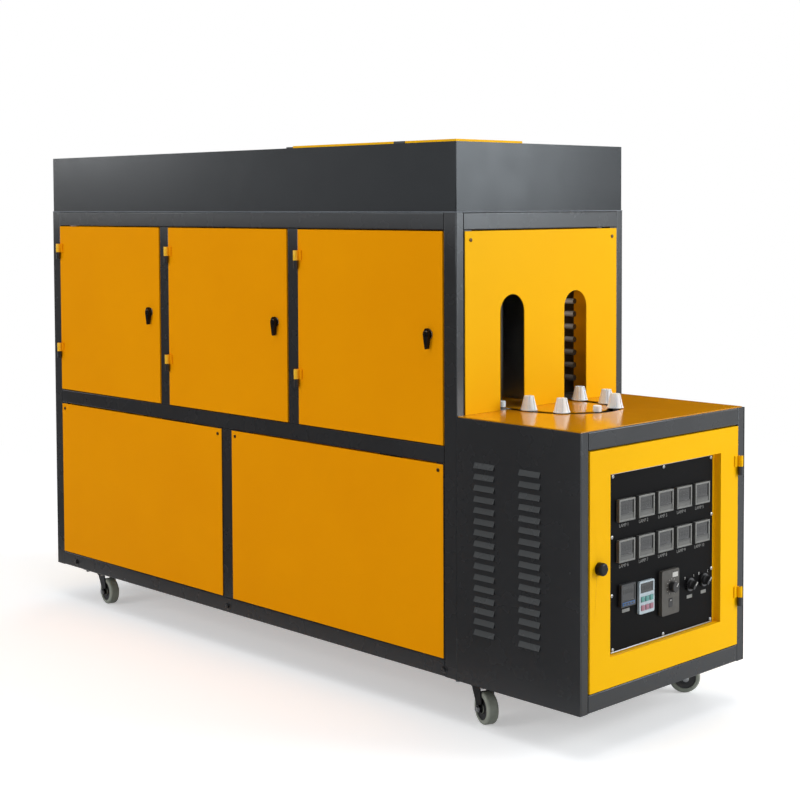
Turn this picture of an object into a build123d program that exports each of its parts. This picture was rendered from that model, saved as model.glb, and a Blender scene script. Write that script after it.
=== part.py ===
from build123d import *
import os
from math import atan2, cos, degrees, pi, sin

# Infrared preform oven of a bottle blowing line. X runs along the machine towards the
# control box, Y to the far side and Z up from the floor.

# Overall sizes
width = 600
cabinet_length = 1680
box_length = 360
cabinet_height = 1220
hood_height = 160
table_height = 602
mid_rail_height = 490
caster_height = 100

# Tube, sheet and gaps
tube_face = 40
tube_depth = 25
tube_corner = 3
sheet = 2
weld_gap = 0.2
panel_gap = 2
running_clearance = 0.1
free_clearance = 0.3
overrun = 5
ledge_width = 25
ledge_thickness = 3

# Doors, hinges and latches
upper_bays = 3
lower_bays = 2
door_depth = 20
knuckle_radius = 6
hinge_standoff = 6.5
hinge_pin_radius = 3
door_knuckle_height = 25
frame_knuckle_height = 20
hinge_leaf_width = 16
hinge_leaf_thickness = 3
side_hinge_shares = (0.235, 0.839)
control_hinge_shares = (0.221, 0.815)
latch_inset = 43
latch_height_share = 0.516
latch_rosette_radius = 10
latch_rosette_thickness = 3
latch_lever_radius = 8.5
latch_lever_thickness = 9
latch_tip_radius = 3
latch_drop = 31
latch_rise = 11
latch_spindle_radius = 5
cam_thickness = 3
cam_radius = 6
cam_reach = 28
knob_cam_reach = 22

# Hood and its lid
hood_inset = 2
hood_corner = 1.5
lid_length = 563
lid_width = 223
lid_height = 5
lid_lap = 25
lid_bar_length = 25
lid_clip_length = 36
lid_clip_thickness = 1.5
lid_clip_share = 0.29

# Arch panel, table and slot
arch_width = 84
arch_rise = 268
table_inset = 4
slot_width = 30
front_sprocket_reach = 70

# Louvred side of the control box
louvre_columns = (87, 220)
louvre_width = 60
louvre_height = 12
louvre_depth = 5
louvre_wall = 1.2
louvre_pitch = 25
louvre_count = 16
louvre_start = 118
cover_thickness = 4
cover_bottom = 32
cover_height = 402
cover_margin = 12

# Spindle chain
chain_pitch = 28.575
sprocket_teeth = 25
straight_links = 52
links_per_spindle = 3
first_spindle_share = 0.37
cup_stations = (-1, 0, 1, 3, 4)
chain_drop = 28
chain_plate = 3
chain_gap = 14
chain_width = 20
spindle_radius = 6
head_standoff = 2
head_radius = 10
head_height = 14
head_chamfer = 1.5
cup_spindle_rise = 22
cup_base_radius = 19.5
cup_base_height = 2
cup_foot_radius = 18.5
cup_top_radius = 11.5
cup_height = 31
cup_bore_radius = 5
cup_bore_depth = 8
flute_count = 8
flute_radius = 2.2

# Sprockets, bearings and drive
sprocket_thickness = 10
sprocket_play = 0.6
gullet_radius = 7
gullet_depth = 5
hub_radius = 25
shaft_radius = 15
shaft_hole_play = 1.5
bearing_height = 26
bearing_radius = 34
bearing_flange = 100
bearing_flange_thickness = 8
gearbox_width = 120
gearbox_height = 96
gearbox_corner = 8
gearbox_bore_depth = 60
motor_radius = 46
motor_rail_gap = 4
motor_length = 210
motor_cowl_length = 55
motor_cowl_step = 4

# Oven
lamp_levels = 10
lamp_pitch = 32
lamp_first_height = 42
lamp_radius = 5
lamp_offset = 200
lamp_end_radius = 7
lamp_end_length = 28
lamp_front_setback = 100
lamp_span = 1310
lamp_brackets_per_side = 3
bracket_thickness = 3
bracket_width = 40
bracket_lip = 9
bracket_foot = 30
bracket_top_margin = 25
reflector_half_width = 45
reflector_height = 372
reflector_setback = 95
reflector_length = 1180

# Power modules behind the control door
plate_width = 470
plate_margin = 12
module_columns = 5
module_rows = 2
module_width = 62
module_height = 110
module_depth = 58
module_pitch_y = 86
module_pitch_z = 160
module_fins = 5
fin_slot = 6
fin_depth = 40

# Control door and panel
window_margin = 69
window_top_margin = 56
window_bottom_margin = 66
recess_depth = 13
lip_width = 24
control_panel_inset = 15
control_panel_gap = 1
control_panel_thickness = 3
door_knob_inset = 30
door_knob_radius = 14
door_knob_length = 16
door_knob_dome = 5
door_knob_height_share = 0.512

# Instruments, placed from the centre of the control panel
body_play = 0.5
meter_columns = 5
meter_rows = 2
meter_pitch_y = 69.7
meter_pitch_z = 88.5
meter_row_height = 73
meter_width = 56
meter_height = 49
meter_bezel = 7
meter_corner = 2
meter_frame = 5
meter_foot = 16
meter_window_depth = 1.5
meter_body_radius = 21
meter_body_depth = 42
timer_place = (-134, -70)
timer_size = 50
timer_bezel = 8
timer_body = 44
timer_body_depth = 62
timer_frame = 4
timer_foot = 13
keypad_place = (-66, -86)
keypad_width = 54
keypad_height = 72
keypad_bezel = 6
keypad_frame = 4
keypad_display_height = 22
keypad_body_width = 44
keypad_body_height = 60
keypad_body_depth = 40
speed_place = (17, -90)
speed_width = 64
speed_height = 101
speed_bezel = 9
speed_corner = 4
speed_body_width = 54
speed_body_height = 90
speed_body_depth = 55
speed_knob_offset = (4, 12)
speed_knob_radius = 12
speed_knob_length = 13
speed_knob_chamfer = 1.5
knob_stub_radius = 4
knob_stub_length = 6
rocker_offset = (0, -24)
rocker_width = 13
rocker_height = 18
rocker_depth = 6
rocker_play = 0.8
rocker_pin_radius = 1.5
selector_places = ((100, -88), (154, -86))
selector_ring_radius = 15
selector_ring_thickness = 5
selector_body_radius = 11
selector_body_depth = 45
selector_lever_radius = 11.5
selector_disc_thickness = 4
selector_bar_width = 7
selector_bar_height = 9
selector_bar_inset = 0.7
selector_rest_angle = 45

# Casters
caster_inset = 58
caster_plate_length = 100
caster_plate_width = 96
caster_plate_thickness = 4
caster_cup_radius = 24
caster_cup_height = 10
caster_trail = 28
wheel_radius = 37.5
wheel_width = 28
wheel_edge = 6
wheel_dish_depth = 4
wheel_hub_radius = 12
wheel_rim_radius = 27
axle_radius = 5
axle_head_radius = 8
axle_head_length = 4
fork_plate = 3
fork_wheel_gap = 1
fork_eye_radius = 11
fork_crown_length = 40
kingpin_radius = 6
kingpin_head_radius = 10
kingpin_head_height = 3
rear_caster_inset = 170
front_caster_reach = 19
far_caster_reach = 200
caster_turns = (-20, -8, 30, 45)

# Cable gland
gland_radius = 14
gland_flange = 6
gland_dome_radius = 12
gland_dome_length = 16
gland_thread_radius = 10
gland_thread_length = 10
gland_bore_radius = 7
gland_offset = 150
gland_height = 90

# Places worked out from the sizes above
x_rear = -(cabinet_length + box_length) / 2
x_front = x_rear + cabinet_length
x_end = x_front + box_length
half_width = width / 2
y_tube = half_width - tube_depth / 2
y_inner = half_width - tube_depth
z_base = caster_height
z_low = z_base + tube_face
z_mid = z_base + mid_rail_height
z_mid_top = z_mid + tube_face
z_roof = z_base + cabinet_height - hood_height
z_top_rail = z_roof - tube_face
z_hood_top = z_roof + hood_height
z_table = z_base + table_height
z_box_top = z_table - sheet
z_box_rail = z_box_top - tube_face
sides = (-1, 1)
upper_bay = (cabinet_length - (upper_bays + 1) * tube_face) / upper_bays
lower_bay = (cabinet_length - (lower_bays + 1) * tube_face) / lower_bays
upper_starts = [x_rear + tube_face + i * (upper_bay + tube_face) for i in range(upper_bays)]
lower_starts = [x_rear + tube_face + i * (lower_bay + tube_face) for i in range(lower_bays)]
upper_posts = [x - tube_face / 2 for x in upper_starts[1:]]
lower_posts = [x - tube_face / 2 for x in lower_starts[1:]]
y_face = -half_width - sheet
y_stop = y_face + door_depth + free_clearance
x_face = x_end + sheet
x_stop = x_face - door_depth - free_clearance

pitch_radius = chain_pitch / (2 * sin(pi / sprocket_teeth))
x_front_sprocket = x_front + front_sprocket_reach
x_rear_sprocket = x_front_sprocket - straight_links * chain_pitch
x_loop = (x_front_sprocket + x_rear_sprocket) / 2
loop_span = straight_links * chain_pitch
loop_links = sprocket_teeth + 2 * straight_links
spindle_count = loop_links // links_per_spindle
island_posts = (
    x_rear_sprocket + pitch_radius + tube_face,
    x_front_sprocket - pitch_radius - tube_face,
)
z_chain = z_table - chain_drop
chain_bottom = z_chain - chain_gap / 2 - chain_plate

x_rear_caster = x_rear + rear_caster_inset
y_caster = half_width - caster_inset
caster_places = (
    (x_front + front_caster_reach, -y_caster),
    (x_rear_caster, -y_caster),
    (x_rear_caster, y_caster),
    (x_front + far_caster_reach, y_caster),
)


def fill(low, high, mode=Mode.ADD):
    """Add or cut the box between two corners in the piece being built."""
    with Locations(low):
        Box(
            high[0] - low[0],
            high[1] - low[1],
            high[2] - low[2],
            align=(Align.MIN, Align.MIN, Align.MIN),
            mode=mode,
        )


def rod(start, radius, length, direction, mode=Mode.ADD):
    """Add or cut a round rod that leaves its start along a direction."""
    with Locations(Plane(origin=start, z_dir=direction)):
        Cylinder(
            radius,
            length,
            align=(Align.CENTER, Align.CENTER, Align.MIN),
            mode=mode,
        )


def write(piece, name):
    """Label a finished piece and write its file."""
    piece.part.label = name
    export_step(piece.part, f"parts/{name}.step")


def loop_point(link):
    """Place on the chain's loop, counted in links from the start of the front bend."""
    link = link % loop_links
    bend = sprocket_teeth / 2
    step = 2 * pi / sprocket_teeth
    if link < bend:
        angle = pi / 2 - link * step
        return (x_front_sprocket + pitch_radius * cos(angle), pitch_radius * sin(angle))
    if link < bend + straight_links:
        return (x_front_sprocket - (link - bend) * chain_pitch, -pitch_radius)
    if link < 2 * bend + straight_links:
        angle = -pi / 2 - (link - bend - straight_links) * step
        return (x_rear_sprocket + pitch_radius * cos(angle), pitch_radius * sin(angle))
    return (x_rear_sprocket + (link - 2 * bend - straight_links) * chain_pitch, pitch_radius)


def spindle_point(station):
    """Place of a spindle, counted from the first one past the start of the front bend."""
    return loop_point((station + first_spindle_share) * links_per_spindle)


os.makedirs("parts", exist_ok=True)

# Cabinet frame
with BuildPart() as main_frame:
    with BuildSketch(Plane.XY.offset(z_base)):
        with Locations(
            *[
                (x, side * y_tube)
                for x in (x_rear + tube_face / 2, x_front - tube_face / 2)
                for side in sides
            ]
        ):
            RectangleRounded(tube_face, tube_depth, tube_corner)
    extrude(amount=z_roof - z_base)
    with BuildSketch(Plane.YZ.offset(x_rear + tube_face + weld_gap)):
        with Locations(
            *[(side * y_tube, z + tube_face / 2) for side in sides for z in (z_base, z_mid, z_top_rail)]
        ):
            RectangleRounded(tube_depth, tube_face, tube_corner)
    extrude(amount=cabinet_length - 2 * (tube_face + weld_gap))
    with BuildSketch(Plane.XY.offset(z_mid_top + weld_gap)):
        with Locations(*[(x, side * y_tube) for x in upper_posts for side in sides]):
            RectangleRounded(tube_face, tube_depth, tube_corner)
    extrude(amount=z_top_rail - z_mid_top - 2 * weld_gap)
    with BuildSketch(Plane.XY.offset(z_low + weld_gap)):
        with Locations(*[(x, side * y_tube) for x in lower_posts for side in sides]):
            RectangleRounded(tube_face, tube_depth, tube_corner)
    extrude(amount=z_mid - z_low - 2 * weld_gap)
    with BuildSketch(Plane.XZ.offset(weld_gap - y_inner)):
        with Locations(
            *[
                (x, z + tube_face / 2)
                for x in (x_rear + tube_depth / 2, x_front - tube_depth / 2)
                for z in (z_base, z_mid, z_top_rail)
            ]
        ):
            RectangleRounded(tube_depth, tube_face, tube_corner)
        cross_rails = (x_rear_sprocket, *island_posts, *upper_posts)
        with Locations(*[(x, z_mid + tube_face / 2) for x in cross_rails]):
            RectangleRounded(tube_face, tube_face, tube_corner)
        with Locations((x_rear_caster, z_base + tube_face / 2)):
            RectangleRounded(tube_face, tube_face, tube_corner)
    extrude(amount=2 * (y_inner - weld_gap))
    rod(
        (x_rear_sprocket, 0, z_mid - overrun),
        shaft_radius + shaft_hole_play,
        tube_face + 2 * overrun,
        (0, 0, 1),
        mode=Mode.SUBTRACT,
    )
    for start in upper_starts:
        for x in (start + weld_gap, start + upper_bay - ledge_width):
            low_z = z_mid_top + weld_gap
            high_z = z_top_rail - weld_gap
            x_high = x + ledge_width - weld_gap
            fill((x, y_stop, low_z), (x_high, y_stop + ledge_thickness, high_z))
            fill((x, half_width - ledge_thickness, low_z), (x_high, half_width, high_z))
    for start in lower_starts:
        for x in (start + weld_gap, start + lower_bay - ledge_width):
            low_z = z_low + weld_gap
            high_z = z_mid - weld_gap
            x_high = x + ledge_width - weld_gap
            for y in (-half_width, half_width - ledge_thickness):
                fill((x, y, low_z), (x_high, y + ledge_thickness, high_z))
    for y in (weld_gap - y_inner, y_inner - ledge_width):
        y_high = y + ledge_width - weld_gap
        x_back = x_front - ledge_thickness
        fill((x_back, y, z_table + weld_gap), (x_front, y_high, z_top_rail - weld_gap))
        for low_z, high_z in ((z_low, z_mid), (z_mid_top, z_top_rail)):
            fill(
                (x_rear, y, low_z + weld_gap),
                (x_rear + ledge_thickness, y_high, high_z - weld_gap),
            )
write(main_frame, "main_frame")

# Control box frame
with BuildPart() as box_frame:
    with BuildSketch(Plane.XY.offset(z_base)):
        with Locations(*[(x_end - tube_face / 2, side * y_tube) for side in sides]):
            RectangleRounded(tube_face, tube_depth, tube_corner)
    extrude(amount=z_box_top - z_base)
    with BuildSketch(Plane.YZ.offset(x_front + weld_gap)):
        box_rails = (z_base, z_box_rail)
        with Locations(*[(side * y_tube, z + tube_face / 2) for side in sides for z in box_rails]):
            RectangleRounded(tube_depth, tube_face, tube_corner)
    extrude(amount=box_length - tube_face - 2 * weld_gap)
    with BuildSketch(Plane.XY.offset(z_low + weld_gap)):
        with Locations(*[(x_front_sprocket, side * y_tube) for side in sides]):
            RectangleRounded(tube_face, tube_depth, tube_corner)
    extrude(amount=z_box_rail - z_low - 2 * weld_gap)
    with BuildSketch(Plane.XZ.offset(weld_gap - y_inner)):
        with Locations(*[(x_end - tube_depth / 2, z + tube_face / 2) for z in (z_base, z_box_rail)]):
            RectangleRounded(tube_depth, tube_face, tube_corner)
        with Locations((x_front_sprocket, z_mid + tube_face / 2)):
            RectangleRounded(tube_face, tube_face, tube_corner)
        with Locations((caster_places[3][0], z_base + tube_face / 2)):
            RectangleRounded(tube_face, tube_face, tube_corner)
    extrude(amount=2 * (y_inner - weld_gap))
    rod(
        (x_front_sprocket, 0, z_mid - overrun),
        shaft_radius + shaft_hole_play,
        tube_face + 2 * overrun,
        (0, 0, 1),
        mode=Mode.SUBTRACT,
    )
    for y in (weld_gap - y_inner, y_inner - ledge_width):
        fill(
            (x_stop - ledge_thickness, y, z_low + weld_gap),
            (x_stop, y + ledge_width - weld_gap, z_box_rail - weld_gap),
        )
write(box_frame, "box_frame")

# Hood of welded sheets with the opening under its lid
hood_rear = x_rear + hood_inset
hood_front = x_front - hood_inset
hood_half = half_width - hood_inset
lid_front = hood_front
lid_rear = lid_front - lid_length
lid_near = -hood_half
lid_far = lid_near + lid_width
hatch_rear = lid_rear + lid_lap
hatch_front = lid_front - lid_lap
with BuildPart() as hood:
    for y in (-hood_half, hood_half - sheet):
        fill((hood_rear, y, z_roof), (hood_front, y + sheet, z_hood_top))
    upright_edges = hood.edges().filter_by(Axis.Z).sort_by(Axis.Y)
    fillet(upright_edges[:2] + upright_edges[-2:], hood_corner)
    y_end = hood_half - sheet - weld_gap
    for x in (hood_rear, hood_front - sheet):
        fill((x, -y_end, z_roof), (x + sheet, y_end, z_hood_top))
    z_sheet = z_hood_top - sheet
    fill((hood_rear + sheet + weld_gap, -y_end, z_sheet), (hatch_rear, y_end, z_hood_top))
    fill((hatch_front, -y_end, z_sheet), (hood_front - sheet - weld_gap, y_end, z_hood_top))
    for low_y, high_y in ((-y_end, lid_near + lid_lap), (lid_far - lid_lap, y_end)):
        fill((hatch_rear + weld_gap, low_y, z_sheet), (hatch_front - weld_gap, high_y, z_hood_top))
write(hood, "hood")

# Lid pan, its end bar and its edge clip
with BuildPart() as top_lid:
    fill((lid_rear, lid_near, z_hood_top), (lid_front, lid_far, z_hood_top + lid_height))
    offset(amount=-sheet, openings=top_lid.faces().sort_by(Axis.Z)[0])
write(top_lid, "top_lid")

with BuildPart() as lid_brackets:
    fill(
        (lid_rear - weld_gap - lid_bar_length, lid_near, z_hood_top),
        (lid_rear - weld_gap, lid_far, z_hood_top + lid_height - sheet),
    )
    clip_x = lid_front - lid_clip_share * lid_length
    fill(
        (clip_x - lid_clip_length, lid_near - lid_clip_thickness, z_hood_top),
        (clip_x, lid_near, z_hood_top + lid_height),
    )
write(lid_brackets, "lid_brackets")


# Side doors: folded pans with the upper half of each lift-off hinge
def side_door(number, start):
    """One inset door, hinged at its left edge."""
    low_x = start + panel_gap
    high_x = start + upper_bay - panel_gap
    low_z = z_mid_top + panel_gap
    high_z = z_top_rail - panel_gap
    y_back = y_face + door_depth
    latch_x = high_x - latch_inset
    latch_z = z_mid_top + latch_height_share * (z_top_rail - z_mid_top)
    x_axis = start + panel_gap / 2
    y_axis = y_face - hinge_standoff
    with BuildPart() as door:
        fill((low_x, y_face, low_z), (high_x, y_back, high_z))
        offset(amount=-sheet, openings=door.faces().sort_by(Axis.Y)[-1])
        rod(
            (latch_x, y_face - overrun, latch_z),
            latch_spindle_radius + free_clearance,
            sheet + 2 * overrun,
            (0, 1, 0),
            mode=Mode.SUBTRACT,
        )
        for share in side_hinge_shares:
            z = z_mid_top + share * (z_top_rail - z_mid_top)
            rod((x_axis, y_axis, z), knuckle_radius, door_knuckle_height, (0, 0, 1))
            fill(
                (x_axis, y_face - hinge_leaf_thickness, z),
                (x_axis + hinge_leaf_width, y_face, z + door_knuckle_height),
            )
            rod(
                (x_axis, y_axis, z - overrun),
                hinge_pin_radius + running_clearance,
                door_knuckle_height + 2 * overrun,
                (0, 0, 1),
                mode=Mode.SUBTRACT,
            )
    write(door, f"door_{number}")
    with BuildPart() as latch:
        y_lever = y_face - latch_rosette_thickness
        rod(
            (latch_x, y_lever, latch_z),
            latch_rosette_radius,
            latch_rosette_thickness - free_clearance,
            (0, 1, 0),
        )
        with BuildSketch(Plane.XZ.offset(-y_lever)):
            with Locations((latch_x, latch_z)):
                Circle(latch_lever_radius)
            with Locations((latch_x, latch_z - latch_drop), (latch_x, latch_z + latch_rise)):
                Circle(latch_tip_radius)
            make_hull()
        extrude(amount=latch_lever_thickness)
        y_cam = y_stop + ledge_thickness + free_clearance
        rod((latch_x, y_lever, latch_z), latch_spindle_radius, y_cam + cam_thickness - y_lever, (0, 1, 0))
        with BuildSketch(Plane.XZ.offset(-y_cam - cam_thickness)):
            with Locations((latch_x, latch_z), (latch_x, latch_z - cam_reach)):
                Circle(cam_radius)
            make_hull()
        extrude(amount=cam_thickness)
    write(latch, f"door_latch_{number}")


for index, bay_start in enumerate(upper_starts):
    side_door(index + 1, bay_start)

# Frame halves of the hinges, each with its upright pin
with BuildPart() as hinge_pins:
    for bay_start in upper_starts:
        x_axis = bay_start + panel_gap / 2
        y_axis = y_face - hinge_standoff
        for share in side_hinge_shares:
            z = z_mid_top + share * (z_top_rail - z_mid_top)
            z_knuckle = z - free_clearance - frame_knuckle_height
            rod((x_axis, y_axis, z_knuckle), knuckle_radius, frame_knuckle_height, (0, 0, 1))
            fill(
                (x_axis - hinge_leaf_width, -half_width - hinge_leaf_thickness, z_knuckle),
                (x_axis, -half_width, z_knuckle + frame_knuckle_height),
            )
            rod(
                (x_axis, y_axis, z_knuckle),
                hinge_pin_radius,
                frame_knuckle_height + free_clearance + door_knuckle_height,
                (0, 0, 1),
            )
    x_axis = x_face + hinge_standoff
    y_axis = y_inner - panel_gap / 2
    for share in control_hinge_shares:
        z = z_low + share * (z_box_rail - z_low)
        z_knuckle = z - free_clearance - frame_knuckle_height
        rod((x_axis, y_axis, z_knuckle), knuckle_radius, frame_knuckle_height, (0, 0, 1))
        fill(
            (x_end, y_axis, z_knuckle),
            (x_end + hinge_leaf_thickness, y_axis + hinge_leaf_width, z_knuckle + frame_knuckle_height),
        )
        rod(
            (x_axis, y_axis, z_knuckle),
            hinge_pin_radius,
            frame_knuckle_height + free_clearance + door_knuckle_height,
            (0, 0, 1),
        )
write(hinge_pins, "hinge_pins")

# Screwed lower panels
for index, bay_start in enumerate(lower_starts):
    with BuildPart() as lower_panel:
        fill(
            (bay_start + panel_gap, y_face, z_low + panel_gap),
            (bay_start + lower_bay - panel_gap, y_face + sheet, z_mid - panel_gap),
        )
    write(lower_panel, f"lower_panel_{index + 1}")

# Fixed panels of the far side and the rear end
with BuildPart() as back_panels:
    for bay_start in upper_starts:
        fill(
            (bay_start + panel_gap, half_width, z_mid_top + panel_gap),
            (bay_start + upper_bay - panel_gap, half_width + sheet, z_top_rail - panel_gap),
        )
    for bay_start in lower_starts:
        fill(
            (bay_start + panel_gap, half_width, z_low + panel_gap),
            (bay_start + lower_bay - panel_gap, half_width + sheet, z_mid - panel_gap),
        )
write(back_panels, "back_panels")

with BuildPart() as rear_panels:
    for low_z, high_z in ((z_low, z_mid), (z_mid_top, z_top_rail)):
        fill(
            (x_rear - sheet, panel_gap - y_inner, low_z + panel_gap),
            (x_rear, y_inner - panel_gap, high_z - panel_gap),
        )
    rod(
        (x_rear - sheet - overrun, gland_offset, z_base + gland_height),
        gland_thread_radius + free_clearance,
        sheet + 2 * overrun,
        (1, 0, 0),
        mode=Mode.SUBTRACT,
    )
write(rear_panels, "rear_panels")

# Supply cable gland
with BuildPart() as cable_gland:
    gland_place = (x_rear - sheet, gland_offset, z_base + gland_height)
    rod(gland_place, gland_radius, gland_flange, (-1, 0, 0))
    rod(gland_place, gland_dome_radius, gland_flange + gland_dome_length, (-1, 0, 0))
    rod(gland_place, gland_thread_radius, sheet + gland_thread_length, (1, 0, 0))
    rod(
        (x_rear - sheet - gland_flange - gland_dome_length - overrun, gland_offset, z_base + gland_height),
        gland_bore_radius,
        gland_flange + gland_dome_length + sheet + gland_thread_length + 2 * overrun,
        (1, 0, 0),
        mode=Mode.SUBTRACT,
    )
write(cable_gland, "cable_gland")

# Arch panel above the table
with BuildPart() as arch_panel:
    fill(
        (x_front, panel_gap - y_inner, z_table + free_clearance),
        (x_front + sheet, y_inner - panel_gap, z_top_rail - panel_gap),
    )
    for side in sides:
        fill(
            (x_front - overrun, side * pitch_radius - arch_width / 2, z_table - overrun),
            (x_front + overrun, side * pitch_radius + arch_width / 2, z_table + arch_rise - arch_width / 2),
            mode=Mode.SUBTRACT,
        )
        rod(
            (x_front - overrun, side * pitch_radius, z_table + arch_rise - arch_width / 2),
            arch_width / 2,
            sheet + 2 * overrun,
            (1, 0, 0),
            mode=Mode.SUBTRACT,
        )
write(arch_panel, "arch_panel")

# Table outside the slot, and the long island inside it
with BuildPart() as table_top:
    fill(
        (x_front + weld_gap, table_inset - half_width, z_box_top),
        (x_end - table_inset, half_width - table_inset, z_table),
    )
    with BuildSketch(Plane.XY.offset(z_box_top)):
        with Locations((x_loop, 0)):
            SlotCenterToCenter(loop_span, 2 * pitch_radius + slot_width)
    extrude(amount=sheet, mode=Mode.SUBTRACT)
    with BuildSketch(Plane.XY.offset(z_box_top)):
        with Locations((x_loop, 0)):
            SlotCenterToCenter(loop_span, 2 * pitch_radius - slot_width)
    extrude(amount=sheet)
write(table_top, "table_top")

# Oven deck around the slot
with BuildPart() as oven_deck:
    fill(
        (x_rear + ledge_thickness + weld_gap, panel_gap - y_inner, z_box_top),
        (x_front - weld_gap, y_inner - panel_gap, z_table),
    )
    with BuildSketch(Plane.XY.offset(z_box_top)):
        with Locations((x_loop, 0)):
            SlotCenterToCenter(loop_span, 2 * pitch_radius + slot_width)
    extrude(amount=sheet, mode=Mode.SUBTRACT)
write(oven_deck, "oven_deck")

# Posts under the deck, the island and the chain
with BuildPart() as deck_pedestals:
    y_deck_post = (pitch_radius + slot_width / 2 + y_inner) / 2
    end_posts = (x_rear + tube_depth / 2, x_front - tube_depth / 2)
    with BuildSketch(Plane.XY.offset(z_mid_top)):
        with Locations(*[(x, side * y_deck_post) for x in (*end_posts, *upper_posts) for side in sides]):
            RectangleRounded(tube_depth, tube_depth, tube_corner)
        with Locations(*[(x, 0) for x in (*island_posts, *upper_posts)]):
            RectangleRounded(tube_depth, tube_depth, tube_corner)
    extrude(amount=z_box_top - z_mid_top)
    with BuildSketch(Plane.XY.offset(z_mid_top)):
        with Locations(*[(x, side * pitch_radius) for x in (*island_posts, *upper_posts) for side in sides]):
            RectangleRounded(tube_depth, tube_depth, tube_corner)
    extrude(amount=chain_bottom - z_mid_top)
write(deck_pedestals, "deck_pedestals")

# One pressed louvre, open at its lower edge
with BuildPart() as louvre:
    with BuildSketch(Plane.YZ.offset(-louvre_width / 2)):
        with BuildLine():
            Polyline((0, louvre_height), (-louvre_depth, 0), (0, 0), close=True)
        make_face()
    extrude(amount=louvre_width)
    with BuildSketch(Plane.YZ.offset(louvre_wall - louvre_width / 2)):
        with BuildLine():
            Polyline(
                (louvre_wall, louvre_height),
                (louvre_wall - louvre_depth, -louvre_wall),
                (louvre_wall, -louvre_wall),
                close=True,
            )
        make_face()
    extrude(amount=louvre_width - 2 * louvre_wall, mode=Mode.SUBTRACT)

# Near side of the control box with two columns of louvres
with BuildPart() as box_side_panel:
    fill(
        (x_front + panel_gap, y_face, z_base),
        (x_end, y_face + sheet, z_box_top),
    )
    louvre_places = [
        (x_front + column, y_face, z_base + louvre_start + i * louvre_pitch)
        for column in louvre_columns
        for i in range(louvre_count)
    ]
    with Locations(*louvre_places):
        Box(
            louvre_width - 2 * louvre_wall,
            sheet,
            louvre_height / 2,
            align=(Align.CENTER, Align.MIN, Align.MIN),
            mode=Mode.SUBTRACT,
        )
        add(louvre.part)
write(box_side_panel, "box_side_panel")

# Far side of the control box and its screwed cover
with BuildPart() as box_far_panel:
    fill(
        (x_front + panel_gap, half_width, z_base),
        (x_end, half_width + sheet, z_box_top),
    )
write(box_far_panel, "box_far_panel")

with BuildPart() as box_far_cover:
    cover_low = half_width + sheet
    fill(
        (x_front + cover_margin, cover_low, z_base + cover_bottom),
        (x_end - cover_margin, cover_low + cover_thickness, z_base + cover_bottom + cover_height),
    )
    offset(amount=-sheet, openings=box_far_cover.faces().sort_by(Axis.Y)[0])
write(box_far_cover, "box_far_cover")

# Lamps, their combs and the centre reflector
lamp_front = x_front - lamp_front_setback
lamp_rear = lamp_front - lamp_span
lamp_heights = [z_table + lamp_first_height + i * lamp_pitch for i in range(lamp_levels)]
bracket_step = (lamp_span - bracket_thickness) / (lamp_brackets_per_side - 1)
bracket_xs = [lamp_rear + i * bracket_step for i in range(lamp_brackets_per_side)]
bracket_top = lamp_heights[-1] + bracket_top_margin
with BuildPart() as lamp_brackets:
    for x in bracket_xs:
        for side in sides:
            y_edge = side * (lamp_offset - bracket_lip)
            y_back = y_edge + side * bracket_width
            y_seat = side * (lamp_offset + lamp_radius + free_clearance)
            y_open = y_edge - side * overrun
            low_y = min(y_edge, y_back)
            high_y = max(y_edge, y_back)
            fill((x, low_y, z_table), (x + bracket_thickness, high_y, bracket_top))
            fill((x, low_y, z_table), (x + bracket_foot, high_y, z_table + bracket_thickness))
            for z in lamp_heights:
                notch = lamp_radius + free_clearance
                fill(
                    (x - overrun, min(y_open, y_seat), z - notch),
                    (x + bracket_thickness + overrun, max(y_open, y_seat), z + notch),
                    mode=Mode.SUBTRACT,
                )
write(lamp_brackets, "lamp_brackets")

with BuildPart() as quartz_lamps:
    lamp_points = [(side * lamp_offset, z) for side in sides for z in lamp_heights]
    for start, length, radius in (
        (lamp_rear - free_clearance, lamp_span + 2 * free_clearance, lamp_radius),
        (lamp_rear - free_clearance - lamp_end_length, lamp_end_length, lamp_end_radius),
        (lamp_front + free_clearance, lamp_end_length, lamp_end_radius),
    ):
        with BuildSketch(Plane.YZ.offset(start)):
            with Locations(*lamp_points):
                Circle(radius)
        extrude(amount=length)
write(quartz_lamps, "quartz_lamps")

with BuildPart() as centre_reflector:
    reflector_front = x_front - reflector_setback
    fill(
        (reflector_front - reflector_length, -reflector_half_width, z_table),
        (reflector_front, reflector_half_width, z_table + reflector_height),
    )
    fill(
        (reflector_front - reflector_length - overrun, sheet - reflector_half_width, z_table),
        (reflector_front + overrun, reflector_half_width - sheet, z_table + reflector_height - sheet),
        mode=Mode.SUBTRACT,
    )
write(centre_reflector, "centre_reflector")

# Chain loop with an upright spindle every few links
cup_numbers = [station % spindle_count for station in cup_stations]
bare_points = [spindle_point(i) for i in range(spindle_count) if i not in cup_numbers]
cup_points = [spindle_point(i) for i in cup_numbers]
with BuildPart() as conveyor_chain:
    for z in (chain_bottom, z_chain + chain_gap / 2):
        with BuildSketch(Plane.XY.offset(z)):
            with Locations((x_loop, 0)):
                SlotCenterToCenter(loop_span, 2 * pitch_radius + chain_width)
                SlotCenterToCenter(loop_span, 2 * pitch_radius - chain_width, mode=Mode.SUBTRACT)
        extrude(amount=chain_plate)
    with BuildSketch(Plane.XY.offset(chain_bottom)):
        with Locations(*bare_points):
            Circle(spindle_radius)
    extrude(amount=z_table + head_standoff - chain_bottom)
    with BuildSketch(Plane.XY.offset(chain_bottom)):
        with Locations(*cup_points):
            Circle(spindle_radius)
    extrude(amount=z_table + cup_spindle_rise - chain_bottom)
write(conveyor_chain, "conveyor_chain")

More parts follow.
